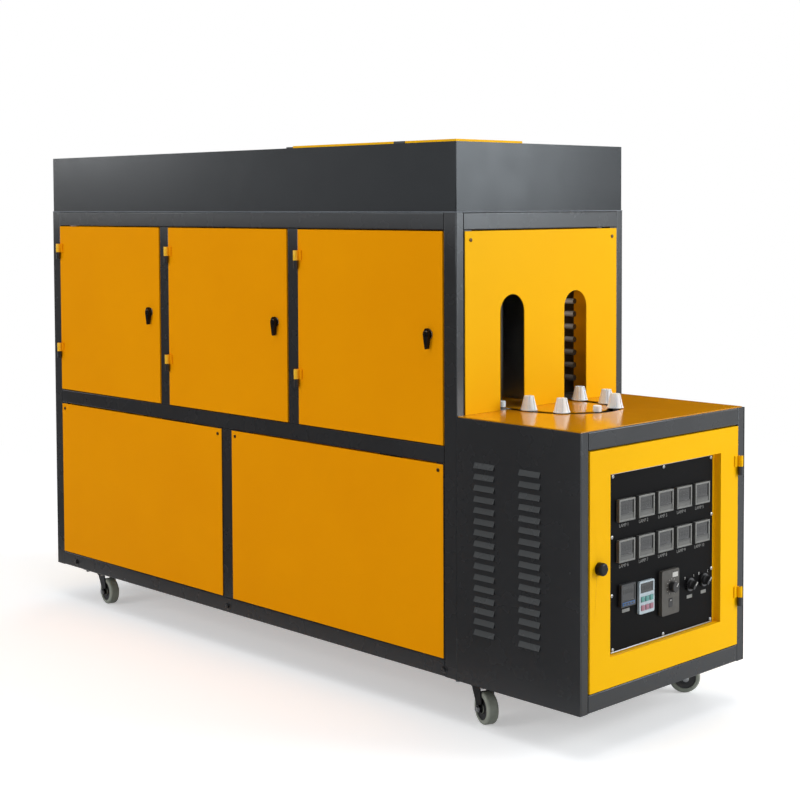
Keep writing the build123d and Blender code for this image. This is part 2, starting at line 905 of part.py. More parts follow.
with BuildPart() as spindle_heads:
    with BuildSketch(Plane.XY.offset(z_table + head_standoff)):
        with Locations(*bare_points):
            Circle(head_radius)
    extrude(amount=head_height)
    chamfer(spindle_heads.faces().sort_by(Axis.Z)[-len(bare_points):].edges(), head_chamfer)
write(spindle_heads, "spindle_heads")

# Fluted preform cups on the loaded spindles
cup_bottom = z_table + head_standoff
cup_lean = degrees(atan2(cup_foot_radius - cup_top_radius, cup_height))
for index, point in enumerate(cup_points):
    with BuildPart() as cup:
        rod((*point, cup_bottom), cup_base_radius, cup_base_height, (0, 0, 1))
        with Locations((*point, cup_bottom + cup_base_height)):
            Cone(
                cup_foot_radius,
                cup_top_radius,
                cup_height,
                align=(Align.CENTER, Align.CENTER, Align.MIN),
            )
        with Locations((*point, cup_bottom + cup_base_height + cup_height / 2)):
            with PolarLocations((cup_foot_radius + cup_top_radius) / 2, flute_count):
                Cylinder(flute_radius, 2 * cup_height, rotation=(0, -cup_lean, 0), mode=Mode.SUBTRACT)
        rod((*point, cup_bottom), cup_base_radius, cup_base_height, (0, 0, 1))
        rod(
            (*point, cup_bottom - overrun),
            spindle_radius + running_clearance,
            overrun + cup_spindle_rise - head_standoff + running_clearance,
            (0, 0, 1),
            mode=Mode.SUBTRACT,
        )
        rod(
            (*point, cup_bottom + cup_base_height + cup_height - cup_bore_depth),
            cup_bore_radius,
            cup_bore_depth + overrun,
            (0, 0, 1),
            mode=Mode.SUBTRACT,
        )
    write(cup, f"preform_cup_{index + 1}")

# Sprockets with their shafts, and the bearings that carry them
tip_radius = pitch_radius - spindle_radius - sprocket_play
bearing_top = z_mid_top + bearing_height
hub_bottom = bearing_top + free_clearance
sprocket_bottom = z_chain - sprocket_thickness / 2
for name, x, shaft_bottom in (
    ("front_sprocket", x_front_sprocket, z_mid),
    ("rear_sprocket", x_rear_sprocket, z_mid - gearbox_bore_depth + free_clearance),
):
    with BuildPart() as sprocket:
        with BuildSketch(Plane.XY.offset(sprocket_bottom)):
            with Locations((x, 0)):
                Circle(tip_radius)
                with PolarLocations(tip_radius + gullet_radius - gullet_depth, sprocket_teeth):
                    Circle(gullet_radius, mode=Mode.SUBTRACT)
        extrude(amount=sprocket_thickness)
        rod((x, 0, hub_bottom), hub_radius, sprocket_bottom - hub_bottom, (0, 0, 1))
        rod((x, 0, shaft_bottom), shaft_radius, sprocket_bottom - shaft_bottom, (0, 0, 1))
    write(sprocket, name)

with BuildPart() as flange_bearings:
    for x in (x_front_sprocket, x_rear_sprocket):
        with BuildSketch(Plane.XY.offset(z_mid_top)):
            with Locations((x, 0)):
                RectangleRounded(bearing_flange, bearing_flange, bearing_flange_thickness)
        extrude(amount=bearing_flange_thickness)
        rod((x, 0, z_mid_top), bearing_radius, bearing_height, (0, 0, 1))
        rod(
            (x, 0, z_mid_top - overrun),
            shaft_radius + running_clearance,
            bearing_height + 2 * overrun,
            (0, 0, 1),
            mode=Mode.SUBTRACT,
        )
write(flange_bearings, "flange_bearings")

with BuildPart() as gearmotor:
    gearbox_bottom = z_mid - gearbox_height
    with BuildSketch(Plane.XY.offset(gearbox_bottom)):
        with Locations((x_rear_sprocket, 0)):
            RectangleRounded(gearbox_width, gearbox_width, gearbox_corner)
    extrude(amount=gearbox_height)
    motor_start = (x_rear_sprocket + gearbox_width / 2, 0, z_mid - motor_radius - motor_rail_gap)
    rod(motor_start, motor_radius - motor_cowl_step, motor_length, (1, 0, 0))
    cowl_start = (motor_start[0] + motor_length - motor_cowl_length, 0, motor_start[2])
    rod(cowl_start, motor_radius, motor_cowl_length, (1, 0, 0))
    rod(
        (x_rear_sprocket, 0, z_mid - gearbox_bore_depth),
        shaft_radius + running_clearance,
        gearbox_bore_depth + overrun,
        (0, 0, 1),
        mode=Mode.SUBTRACT,
    )
write(gearmotor, "gearmotor")

# Mounting plate with the finned power modules
with BuildPart() as power_modules:
    plate_low = z_base + plate_margin
    plate_high = z_mid_top - plate_margin
    fill((x_front, -plate_width / 2, plate_low), (x_front + sheet, plate_width / 2, plate_high))
    module_x = x_front + sheet + weld_gap
    with Locations((module_x, 0, (plate_low + plate_high) / 2)):
        module_places = [
            ((i - (module_columns - 1) / 2) * module_pitch_y, (j - (module_rows - 1) / 2) * module_pitch_z)
            for i in range(module_columns)
            for j in range(module_rows)
        ]
        with Locations(*[(0, y, z) for y, z in module_places]):
            Box(module_depth, module_width, module_height, align=(Align.MIN, Align.CENTER, Align.CENTER))
            fin_pitch = module_width / module_fins
            fin_places = [(i - (module_fins - 2) / 2) * fin_pitch for i in range(module_fins - 1)]
            with Locations(*[(module_depth - fin_depth, y, 0) for y in fin_places]):
                Box(
                    fin_depth + overrun,
                    fin_slot,
                    module_height + overrun,
                    align=(Align.MIN, Align.CENTER, Align.CENTER),
                    mode=Mode.SUBTRACT,
                )
write(power_modules, "power_modules")

# Control door: a folded pan with a framed window and the upper hinge halves
door_low = z_low + panel_gap
door_high = z_box_rail - panel_gap
door_half = y_inner - panel_gap
window_half = door_half - window_margin
window_low = door_low + window_bottom_margin
window_high = door_high - window_top_margin
x_panel = x_face - recess_depth
x_lip = x_panel - control_panel_thickness
knob_y = door_knob_inset - door_half
knob_z = door_low + door_knob_height_share * (door_high - door_low)
with BuildPart() as control_door:
    fill((x_face - door_depth, -door_half, door_low), (x_face, door_half, door_high))
    offset(amount=-sheet, openings=control_door.faces().sort_by(Axis.X)[0])
    fill(
        (x_lip - sheet, -window_half - sheet, window_low - sheet),
        (x_face, window_half + sheet, window_high + sheet),
    )
    fill((x_lip, -window_half, window_low), (x_face + overrun, window_half, window_high), mode=Mode.SUBTRACT)
    fill(
        (x_lip - overrun, lip_width - window_half, window_low + lip_width),
        (x_face, window_half - lip_width, window_high - lip_width),
        mode=Mode.SUBTRACT,
    )
    rod(
        (x_face - overrun, knob_y, knob_z),
        latch_spindle_radius + free_clearance,
        2 * overrun,
        (1, 0, 0),
        mode=Mode.SUBTRACT,
    )
    control_axis = (x_face + hinge_standoff, y_inner - panel_gap / 2)
    for share in control_hinge_shares:
        z = z_low + share * (z_box_rail - z_low)
        rod((*control_axis, z), knuckle_radius, door_knuckle_height, (0, 0, 1))
        fill(
            (x_face, control_axis[1] - hinge_leaf_width, z),
            (x_face + hinge_leaf_thickness, control_axis[1], z + door_knuckle_height),
        )
        rod(
            (*control_axis, z - overrun),
            hinge_pin_radius + running_clearance,
            door_knuckle_height + 2 * overrun,
            (0, 0, 1),
            mode=Mode.SUBTRACT,
        )
write(control_door, "control_door")

# Round knob with its locking cam
with BuildPart() as control_door_knob:
    rod((x_face + free_clearance, knob_y, knob_z), door_knob_radius, door_knob_length, (1, 0, 0))
    knob_face = control_door_knob.faces().sort_by(Axis.X)[-1]
    fillet(knob_face.edges(), door_knob_dome)
    x_cam = x_stop - ledge_thickness - free_clearance
    rod(
        (x_cam - cam_thickness, knob_y, knob_z),
        latch_spindle_radius,
        x_face + sheet - x_cam + cam_thickness,
        (1, 0, 0),
    )
    with BuildSketch(Plane.YZ.offset(x_cam - cam_thickness)):
        with Locations((knob_y, knob_z), (knob_y, knob_z - knob_cam_reach)):
            Circle(cam_radius)
        make_hull()
    extrude(amount=cam_thickness)
write(control_door_knob, "control_door_knob")

# Control panel with a cut-out for each instrument
panel_centre = (door_low + door_high) / 2
panel_half = window_half - control_panel_inset
panel_low = window_low + control_panel_gap
panel_high = window_high - control_panel_gap
meter_places = [
    (
        (i - (meter_columns - 1) / 2) * meter_pitch_y,
        meter_row_height + (j - (meter_rows - 1) / 2) * meter_pitch_z,
    )
    for i in range(meter_columns)
    for j in range(meter_rows)
]
rod_hole = selector_body_radius + body_play


def on_panel(place, depth=0):
    """Point in front of the control panel, from a place counted from the panel's centre."""
    return (x_panel + depth, place[0], panel_centre + place[1])


def shifted(place, offset_yz):
    """Place on the panel moved by an offset."""
    return (place[0] + offset_yz[0], place[1] + offset_yz[1])


with BuildPart() as control_panel:
    fill((x_lip, -panel_half, panel_low), (x_panel, panel_half, panel_high))
    with BuildSketch(Plane.YZ.offset(x_lip)):
        with Locations(*[(y, panel_centre + z) for y, z in meter_places]):
            Circle(meter_body_radius + body_play)
        with Locations((timer_place[0], panel_centre + timer_place[1])):
            Rectangle(timer_body + 2 * body_play, timer_body + 2 * body_play)
        with Locations((keypad_place[0], panel_centre + keypad_place[1])):
            Rectangle(keypad_body_width + 2 * body_play, keypad_body_height + 2 * body_play)
        with Locations((speed_place[0], panel_centre + speed_place[1])):
            Rectangle(speed_body_width + 2 * body_play, speed_body_height + 2 * body_play)
        with Locations(*[(y, panel_centre + z) for y, z in selector_places]):
            Circle(rod_hole)
    extrude(amount=control_panel_thickness, mode=Mode.SUBTRACT)
write(control_panel, "control_panel")

# Ten lamp voltage meters
with BuildPart() as lamp_meters:
    with BuildSketch(Plane.YZ.offset(x_panel)):
        with Locations(*[(y, panel_centre + z) for y, z in meter_places]):
            RectangleRounded(meter_width, meter_height, meter_corner)
    extrude(amount=meter_bezel)
    window_rise = (meter_foot - meter_frame) / 2
    with BuildSketch(Plane.YZ.offset(x_panel + meter_bezel - meter_window_depth)):
        with Locations(*[(y, panel_centre + z + window_rise) for y, z in meter_places]):
            Rectangle(meter_width - 2 * meter_frame, meter_height - meter_frame - meter_foot)
    extrude(amount=meter_window_depth, mode=Mode.SUBTRACT)
    with BuildSketch(Plane.YZ.offset(x_panel - meter_body_depth)):
        with Locations(*[(y, panel_centre + z) for y, z in meter_places]):
            Circle(meter_body_radius)
    extrude(amount=meter_body_depth)
write(lamp_meters, "lamp_meters")

# Timer and keypad
with BuildPart() as timer:
    with BuildSketch(Plane.YZ.offset(x_panel)):
        with Locations((timer_place[0], panel_centre + timer_place[1])):
            RectangleRounded(timer_size, timer_size, meter_corner)
    extrude(amount=timer_bezel)
    timer_rise = (timer_foot - timer_frame) / 2
    with BuildSketch(Plane.YZ.offset(x_panel + timer_bezel - meter_window_depth)):
        with Locations((timer_place[0], panel_centre + timer_place[1] + timer_rise)):
            Rectangle(timer_size - 2 * timer_frame, timer_size - timer_frame - timer_foot)
    extrude(amount=meter_window_depth, mode=Mode.SUBTRACT)
    with BuildSketch(Plane.YZ.offset(x_panel - timer_body_depth)):
        with Locations((timer_place[0], panel_centre + timer_place[1])):
            Rectangle(timer_body, timer_body)
    extrude(amount=timer_body_depth)
write(timer, "timer")

with BuildPart() as keypad:
    with BuildSketch(Plane.YZ.offset(x_panel)):
        with Locations((keypad_place[0], panel_centre + keypad_place[1])):
            RectangleRounded(keypad_width, keypad_height, speed_corner)
    extrude(amount=keypad_bezel)
    display_rise = keypad_height / 2 - keypad_frame - keypad_display_height / 2
    with BuildSketch(Plane.YZ.offset(x_panel + keypad_bezel - meter_window_depth)):
        with Locations((keypad_place[0], panel_centre + keypad_place[1] + display_rise)):
            Rectangle(keypad_width - 2 * keypad_frame, keypad_display_height)
    extrude(amount=meter_window_depth, mode=Mode.SUBTRACT)
    with BuildSketch(Plane.YZ.offset(x_panel - keypad_body_depth)):
        with Locations((keypad_place[0], panel_centre + keypad_place[1])):
            Rectangle(keypad_body_width, keypad_body_height)
    extrude(amount=keypad_body_depth)
write(keypad, "keypad")

# Motor speed controller with its knob and run rocker
knob_place = shifted(speed_place, speed_knob_offset)
rocker_place = shifted(speed_place, rocker_offset)
x_speed = x_panel + speed_bezel
rocker_pocket = rocker_depth - rocker_play
with BuildPart() as speed_controller:
    with BuildSketch(Plane.YZ.offset(x_panel)):
        with Locations((speed_place[0], panel_centre + speed_place[1])):
            RectangleRounded(speed_width, speed_height, speed_corner)
    extrude(amount=speed_bezel)
    with BuildSketch(Plane.YZ.offset(x_panel - speed_body_depth)):
        with Locations((speed_place[0], panel_centre + speed_place[1])):
            Rectangle(speed_body_width, speed_body_height)
    extrude(amount=speed_body_depth)
    rod(
        on_panel(knob_place, speed_bezel - knob_stub_length),
        knob_stub_radius + running_clearance,
        knob_stub_length + overrun,
        (1, 0, 0),
        mode=Mode.SUBTRACT,
    )
    with Locations(on_panel(rocker_place, speed_bezel - rocker_depth)):
        Box(
            rocker_depth + overrun,
            rocker_width + 2 * rocker_play,
            rocker_height + 2 * rocker_play,
            align=(Align.MIN, Align.CENTER, Align.CENTER),
            mode=Mode.SUBTRACT,
        )
    rocker_axle = rocker_width / 2 + rocker_play
    rod(
        (x_speed - rocker_pocket / 2, rocker_place[0] - rocker_axle, panel_centre + rocker_place[1]),
        rocker_pin_radius,
        2 * rocker_axle,
        (0, 1, 0),
    )
write(speed_controller, "speed_controller")

with BuildPart() as speed_knob:
    rod(on_panel(knob_place, speed_bezel + free_clearance), speed_knob_radius, speed_knob_length, (1, 0, 0))
    chamfer(speed_knob.faces().sort_by(Axis.X)[-1].edges(), speed_knob_chamfer)
    rod(
        on_panel(knob_place, speed_bezel - knob_stub_length + free_clearance),
        knob_stub_radius,
        knob_stub_length,
        (1, 0, 0),
    )
write(speed_knob, "speed_knob")

rocker_z = panel_centre + rocker_place[1]
rocker_pivot = x_speed - rocker_pocket / 2
with BuildPart() as run_rocker:
    with BuildSketch(Plane.XZ.offset(-rocker_place[0] - rocker_width / 2)):
        with BuildLine():
            Polyline(
                (rocker_pivot, rocker_z - rocker_height / 2),
                (x_speed + rocker_play, rocker_z - rocker_height / 2),
                (x_speed, rocker_z),
                (x_speed + rocker_play, rocker_z + rocker_height / 2),
                (rocker_pivot, rocker_z + rocker_height / 2),
                (x_speed - rocker_pocket, rocker_z),
                close=True,
            )
        make_face()
    extrude(amount=rocker_width)
    rod(
        (rocker_pivot, rocker_place[0] - rocker_axle - overrun, rocker_z),
        rocker_pin_radius + running_clearance,
        2 * (rocker_axle + overrun),
        (0, 1, 0),
        mode=Mode.SUBTRACT,
    )
write(run_rocker, "run_rocker")

# Selector switches
with BuildPart() as selector_bodies:
    for place in selector_places:
        rod(on_panel(place), selector_ring_radius, selector_ring_thickness, (1, 0, 0))
        rod(on_panel(place, -selector_body_depth), selector_body_radius, selector_body_depth, (1, 0, 0))
        rod(
            on_panel(place, selector_ring_thickness - knob_stub_length),
            knob_stub_radius + running_clearance,
            knob_stub_length + overrun,
            (1, 0, 0),
            mode=Mode.SUBTRACT,
        )
write(selector_bodies, "selector_bodies")

for index, place in enumerate(selector_places):
    lever_start = selector_ring_thickness + free_clearance
    with BuildPart() as selector_lever:
        rod(on_panel(place, lever_start), selector_lever_radius, selector_disc_thickness, (1, 0, 0))
        rod(
            on_panel(place, lever_start - knob_stub_length),
            knob_stub_radius,
            knob_stub_length,
            (1, 0, 0),
        )
        with BuildSketch(Plane.YZ.offset(x_panel + lever_start + selector_disc_thickness)):
            with Locations((place[0], panel_centre + place[1])):
                SlotOverall(
                    2 * (selector_lever_radius - selector_bar_inset),
                    selector_bar_width,
                    rotation=90 - selector_rest_angle,
                )
        extrude(amount=selector_bar_height)
    write(selector_lever, f"selector_lever_{index + 1}")

# Casters: fixed plate with king pin, swivelling fork, wheel
z_plate = z_base - caster_plate_thickness
z_cup = z_plate - caster_cup_height
z_crown = z_cup - free_clearance
z_kingpin = z_crown - fork_plate - free_clearance - kingpin_head_height
fork_inner = wheel_width / 2 + fork_wheel_gap
fork_outer = fork_inner + fork_plate
with BuildPart() as caster_plates:
    for x, y in caster_places:
        with BuildSketch(Plane.XY.offset(z_plate)):
            with Locations((x, y)):
                RectangleRounded(caster_plate_length, caster_plate_width, caster_plate_thickness)
        extrude(amount=caster_plate_thickness)
        rod((x, y, z_cup), caster_cup_radius, caster_cup_height, (0, 0, 1))
        rod((x, y, z_kingpin), kingpin_radius, z_cup - z_kingpin, (0, 0, 1))
        rod((x, y, z_kingpin), kingpin_head_radius, kingpin_head_height, (0, 0, 1))
write(caster_plates, "caster_plates")

with BuildPart() as fork:
    rod((0, 0, z_crown - fork_plate), caster_cup_radius, fork_plate, (0, 0, 1))
    for start in (-fork_outer, fork_inner):
        with BuildSketch(Plane.XZ.offset(-start - fork_plate)):
            with Locations((caster_trail, wheel_radius)):
                Circle(fork_eye_radius)
            with Locations((caster_trail / 4, z_crown - fork_plate / 2)):
                Rectangle(fork_crown_length, fork_plate)
            make_hull()
        extrude(amount=fork_plate)
    rod(
        (0, 0, z_crown - fork_plate - overrun),
        kingpin_radius + running_clearance,
        fork_plate + 2 * overrun,
        (0, 0, 1),
        mode=Mode.SUBTRACT,
    )
    rod((caster_trail, -fork_outer, wheel_radius), axle_radius, 2 * fork_outer, (0, 1, 0))
    for side in sides:
        axle_end = (caster_trail, side * fork_outer, wheel_radius)
        rod(axle_end, axle_head_radius, axle_head_length, (0, side, 0))

with BuildPart() as wheel:
    rod((caster_trail, -wheel_width / 2, wheel_radius), wheel_radius, wheel_width, (0, 1, 0))
    fillet(wheel.edges().filter_by(GeomType.CIRCLE), wheel_edge)
    for side in sides:
        with BuildSketch(Plane.XZ.offset(-side * wheel_width / 2)):
            with Locations((caster_trail, wheel_radius)):
                Circle(wheel_rim_radius)
                Circle(wheel_hub_radius, mode=Mode.SUBTRACT)
        extrude(amount=side * wheel_dish_depth, mode=Mode.SUBTRACT)
    rod(
        (caster_trail, -wheel_width, wheel_radius),
        axle_radius + running_clearance,
        2 * wheel_width,
        (0, 1, 0),
        mode=Mode.SUBTRACT,
    )

for index, (place, turn) in enumerate(zip(caster_places, caster_turns)):
    stand = Location((*place, 0), (0, 0, turn))
    for piece, kind in ((fork, "fork"), (wheel, "wheel")):
        placed = piece.part.moved(stand)
        placed.label = f"caster_{kind}_{index + 1}"
        export_step(placed, f"parts/caster_{kind}_{index + 1}.step")
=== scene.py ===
from math import cos, pi, radians, sin

import bmesh
import bpy
from mathutils import Euler, Matrix, Vector


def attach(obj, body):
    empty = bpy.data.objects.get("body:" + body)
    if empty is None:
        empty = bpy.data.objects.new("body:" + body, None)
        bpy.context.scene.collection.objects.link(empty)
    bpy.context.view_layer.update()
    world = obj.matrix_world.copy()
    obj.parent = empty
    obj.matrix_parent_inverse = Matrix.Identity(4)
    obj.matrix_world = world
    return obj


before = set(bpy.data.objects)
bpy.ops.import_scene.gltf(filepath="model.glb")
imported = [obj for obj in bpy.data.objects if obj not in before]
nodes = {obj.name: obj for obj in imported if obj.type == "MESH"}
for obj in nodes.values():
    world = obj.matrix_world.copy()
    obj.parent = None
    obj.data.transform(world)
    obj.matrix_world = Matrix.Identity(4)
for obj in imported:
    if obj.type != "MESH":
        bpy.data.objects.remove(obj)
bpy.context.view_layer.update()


def srgb(red, green, blue):
    """A screen colour of 0 to 255 as the linear values that a shader takes."""
    linear = []
    for value in (red, green, blue):
        share = value / 255
        linear.append(share / 12.92 if share <= 0.04045 else ((share + 0.055) / 1.055) ** 2.4)
    return (*linear, 1.0)


# Camera, floor and studio light

LENS_MM, FILM_MM = 70.739, 36
FRAME_SHIFT = -0.15
CAMERA_PLACE = (3.1002, -2.8361, 1.1781)
CAMERA_DIP, CAMERA_HEADING, CAMERA_ROLL = 2.74, 45.949, -0.238


def set_camera():
    """Eye-level three-quarter view of the louvred side and the instrument end."""
    lens = bpy.data.cameras.new("product_camera")
    lens.lens = LENS_MM
    lens.sensor_width = FILM_MM
    lens.shift_y = FRAME_SHIFT
    camera = bpy.data.objects.new("product_camera", lens)
    bpy.context.collection.objects.link(camera)
    camera.location = CAMERA_PLACE
    look = Euler((radians(90 - CAMERA_DIP), 0, radians(CAMERA_HEADING)), "XYZ").to_matrix()
    roll = Matrix.Rotation(radians(CAMERA_ROLL), 3, "Z")
    camera.rotation_euler = (look @ roll).to_euler()
    bpy.context.scene.camera = camera


def area_light(name, place, target, size, power, tint=(1.0, 1.0, 1.0)):
    """A square soft box that faces a point."""
    lamp = bpy.data.lights.new(name, "AREA")
    lamp.size = size
    lamp.energy = power
    lamp.color = tint
    box = bpy.data.objects.new(name, lamp)
    bpy.context.collection.objects.link(box)
    box.location = place
    box.rotation_euler = (Vector(target) - Vector(place)).to_track_quat("-Z", "Y").to_euler()
    return box


def rays_that_see_white(tree):
    """1 for camera, glossy and transmission rays, which see the white surroundings."""
    path = tree.nodes.new("ShaderNodeLightPath")
    seen = tree.nodes.new("ShaderNodeMath")
    seen.operation = "MAXIMUM"
    glass = tree.nodes.new("ShaderNodeMath")
    glass.operation = "MAXIMUM"
    tree.links.new(path.outputs["Is Camera Ray"], seen.inputs[0])
    tree.links.new(path.outputs["Is Glossy Ray"], glass.inputs[0])
    tree.links.new(path.outputs["Is Transmission Ray"], glass.inputs[1])
    tree.links.new(glass.outputs[0], seen.inputs[1])
    return path, seen.outputs[0]


SKY_TINT, SKY_STRENGTH = (0.9, 0.94, 1.0, 1), 0.3
FLOOR_WIDTH, FLOOR_Z = 60, -0.0005


def set_studio():
    """White floor, white surroundings, two black cards and six lights."""
    bpy.context.scene.view_settings.view_transform = "Standard"
    world = bpy.data.worlds.new("studio")
    bpy.context.scene.world = world
    world.use_nodes = True
    tree = world.node_tree
    tree.nodes.clear()
    _, seen = rays_that_see_white(tree)
    dim = tree.nodes.new("ShaderNodeBackground")
    dim.inputs["Color"].default_value = SKY_TINT
    dim.inputs["Strength"].default_value = SKY_STRENGTH
    white = tree.nodes.new("ShaderNodeBackground")
    white.inputs["Color"].default_value = (1, 1, 1, 1)
    white.inputs["Strength"].default_value = 1.0
    mix = tree.nodes.new("ShaderNodeMixShader")
    out = tree.nodes.new("ShaderNodeOutputWorld")
    tree.links.new(seen, mix.inputs["Fac"])
    tree.links.new(dim.outputs[0], mix.inputs[1])
    tree.links.new(white.outputs[0], mix.inputs[2])
    tree.links.new(mix.outputs[0], out.inputs["Surface"])

    bpy.ops.object.select_all(action="DESELECT")
    bpy.ops.mesh.primitive_plane_add(size=FLOOR_WIDTH, location=(0, 0, FLOOR_Z))
    floor = bpy.context.active_object
    floor.name = "floor"
    floor.data.materials.append(floor_white())

    stand_card("dark_card", (0.15, 1.0, 0.98), 1.0, 1.0)
    stand_card("side_card", (-0.45, -0.6, 0.56), 2.6, 1.12)

    area_light("key_light", (4.6, 2.9, 2.3), (0.8, 0.0, 0.75), 2.6, 185, (0.95, 0.98, 1.0))
    area_light("side_light", (-1.4, -5.2, 2.5), (-0.2, -0.3, 0.7), 2.6, 78)
    area_light("left_light", (-5.3, -3.15, 1.9), (-0.8, -0.3, 1.3), 0.9, 14)
    area_light("top_light", (0.4, -0.4, 4.6), (0.2, 0.0, 0.7), 3.6, 85)
    area_light("oven_light", (0.54, 0.11, 0.93), (0.52, 0.29, 0.87), 0.1, 0.11, (1.0, 0.9, 0.78))
    far = area_light("far_light", (-3.4, 5.0, 3.2), (-0.2, 0.3, 0.6), 3.6, 90)
    far.visible_glossy = False


def stand_card(name, centre, width, height):
    """Upright black card that only shows as what glossy paint mirrors."""
    bpy.ops.object.select_all(action="DESELECT")
    bpy.ops.mesh.primitive_plane_add(size=1, location=centre, rotation=(pi / 2, 0, 0))
    card = bpy.context.active_object
    card.name = name
    card.scale = (width, height, 1)
    card.data.materials.append(card_black())
    card.visible_camera = False
    card.visible_diffuse = False
    card.visible_shadow = False


def card_black():
    """Matt black of the cards."""
    paint = bpy.data.materials.new("card_black")
    paint.use_nodes = True
    shader = paint.node_tree.nodes["Principled BSDF"]
    shader.inputs["Base Color"].default_value = (0.02, 0.02, 0.02, 1)
    shader.inputs["Roughness"].default_value = 0.9
    shader.inputs["Specular IOR Level"].default_value = 0.0
    return paint


FLOOR_GLOW = 0.4
FADE_START, FADE_END = 1.6, 4.0


def floor_white():
    """White floor with the machine's shadow, which runs out into the white surroundings."""
    paint = bpy.data.materials.new("floor_white")
    paint.use_nodes = True
    tree = paint.node_tree
    shader = tree.nodes["Principled BSDF"]
    shader.inputs["Base Color"].default_value = (0.86, 0.86, 0.86, 1)
    shader.inputs["Roughness"].default_value = 0.9
    shader.inputs["Specular IOR Level"].default_value = 0.1
    shader.inputs["Emission Color"].default_value = (1, 1, 1, 1)
    path, seen = rays_that_see_white(tree)
    glow = tree.nodes.new("ShaderNodeMath")
    glow.operation = "MULTIPLY"
    glow.inputs[1].default_value = FLOOR_GLOW
    place = tree.nodes.new("ShaderNodeTexCoord")
    reach = tree.nodes.new("ShaderNodeVectorMath")
    reach.operation = "LENGTH"
    fade = tree.nodes.new("ShaderNodeMapRange")
    fade.interpolation_type = "SMOOTHSTEP"
    fade.inputs["From Min"].default_value = FADE_START
    fade.inputs["From Max"].default_value = FADE_END
    share = tree.nodes.new("ShaderNodeMath")
    share.operation = "MULTIPLY"
    white = tree.nodes.new("ShaderNodeEmission")
    white.inputs["Strength"].default_value = 1.0
    mix = tree.nodes.new("ShaderNodeMixShader")
    out = tree.nodes["Material Output"]
    tree.links.new(path.outputs["Is Camera Ray"], glow.inputs[0])
    tree.links.new(glow.outputs[0], shader.inputs["Emission Strength"])
    tree.links.new(place.outputs["Object"], reach.inputs[0])
    tree.links.new(reach.outputs["Value"], fade.inputs["Value"])
    tree.links.new(fade.outputs["Result"], share.inputs[0])
    tree.links.new(seen, share.inputs[1])
    tree.links.new(share.outputs[0], mix.inputs["Fac"])
    tree.links.new(shader.outputs["BSDF"], mix.inputs[1])
    tree.links.new(white.outputs["Emission"], mix.inputs[2])
    tree.links.new(mix.outputs["Shader"], out.inputs["Surface"])
    return paint


# Finishes

def finish(name, colour, roughness, metallic=0.0):
    """A new finish with its plain values set on the shader."""
    paint = bpy.data.materials.new(name)
    paint.use_nodes = True
    shader = shader_of(paint)
    shader.inputs["Base Color"].default_value = colour
    shader.inputs["Roughness"].default_value = roughness
    shader.inputs["Metallic"].default_value = metallic
    return paint


def shader_of(paint):
    """The shader that a finish is set on."""
    return paint.node_tree.nodes["Principled BSDF"]


def surface_noise(paint, scale, detail=2.0, stretch=(1, 1, 1)):
    """Noise fixed to the piece, with its grain stretched along the axes."""
    tree = paint.node_tree
    place = tree.nodes.new("ShaderNodeTexCoord")
    turn = tree.nodes.new("ShaderNodeMapping")
    turn.inputs["Scale"].default_value = stretch
    noise = tree.nodes.new("ShaderNodeTexNoise")
    noise.inputs["Scale"].default_value = scale
    noise.inputs["Detail"].default_value = detail
    tree.links.new(place.outputs["Object"], turn.inputs["Vector"])
    tree.links.new(turn.outputs["Vector"], noise.inputs["Vector"])
    return noise.outputs["Fac"]


def blend_colour(paint, value, low, high, start=0.35, end=0.65):
    """Base colour that drifts between two tones."""
    tree = paint.node_tree
    ramp = tree.nodes.new("ShaderNodeValToRGB")
    ramp.color_ramp.elements[0].position = start
    ramp.color_ramp.elements[0].color = low
    ramp.color_ramp.elements[1].position = end
    ramp.color_ramp.elements[1].color = high
    tree.links.new(value, ramp.inputs["Fac"])
    tree.links.new(ramp.outputs["Color"], shader_of(paint).inputs["Base Color"])


def blend_gloss(paint, value, low, high):
    """Roughness that drifts between two values."""
    tree = paint.node_tree
    span = tree.nodes.new("ShaderNodeMapRange")
    span.inputs["From Min"].default_value = 0.3
    span.inputs["From Max"].default_value = 0.7
    span.inputs["To Min"].default_value = low
    span.inputs["To Max"].default_value = high
    tree.links.new(value, span.inputs["Value"])
    tree.links.new(span.outputs["Result"], shader_of(paint).inputs["Roughness"])


def raise_grain(paint, value, strength, depth):
    """Relief from a noise, in metres of depth."""
    tree = paint.node_tree
    relief = tree.nodes.new("ShaderNodeBump")
    relief.inputs["Strength"].default_value = strength
    relief.inputs["Distance"].default_value = depth
    tree.links.new(value, relief.inputs["Height"])
    tree.links.new(relief.outputs["Normal"], shader_of(paint).inputs["Normal"])


def powder_coat(name, tone, deep, roughness, grain=900, strength=0.12, shine=0.2):
    """Sprayed and baked paint: faint clouds in the colour and a fine orange peel."""
    paint = finish(name, tone, roughness)
    shader_of(paint).inputs["Specular IOR Level"].default_value = shine
    blend_colour(paint, surface_noise(paint, 3.0, 3.0), deep, tone, 0.3, 0.7)
    blend_gloss(paint, surface_noise(paint, 14.0, 3.0), roughness - 0.02, roughness + 0.03)
    raise_grain(paint, surface_noise(paint, grain, 2.0), strength, 0.0006)
    return paint


UPWARD_LIGHT_START, UPWARD_LIGHT_FULL = 0.06, 0.3


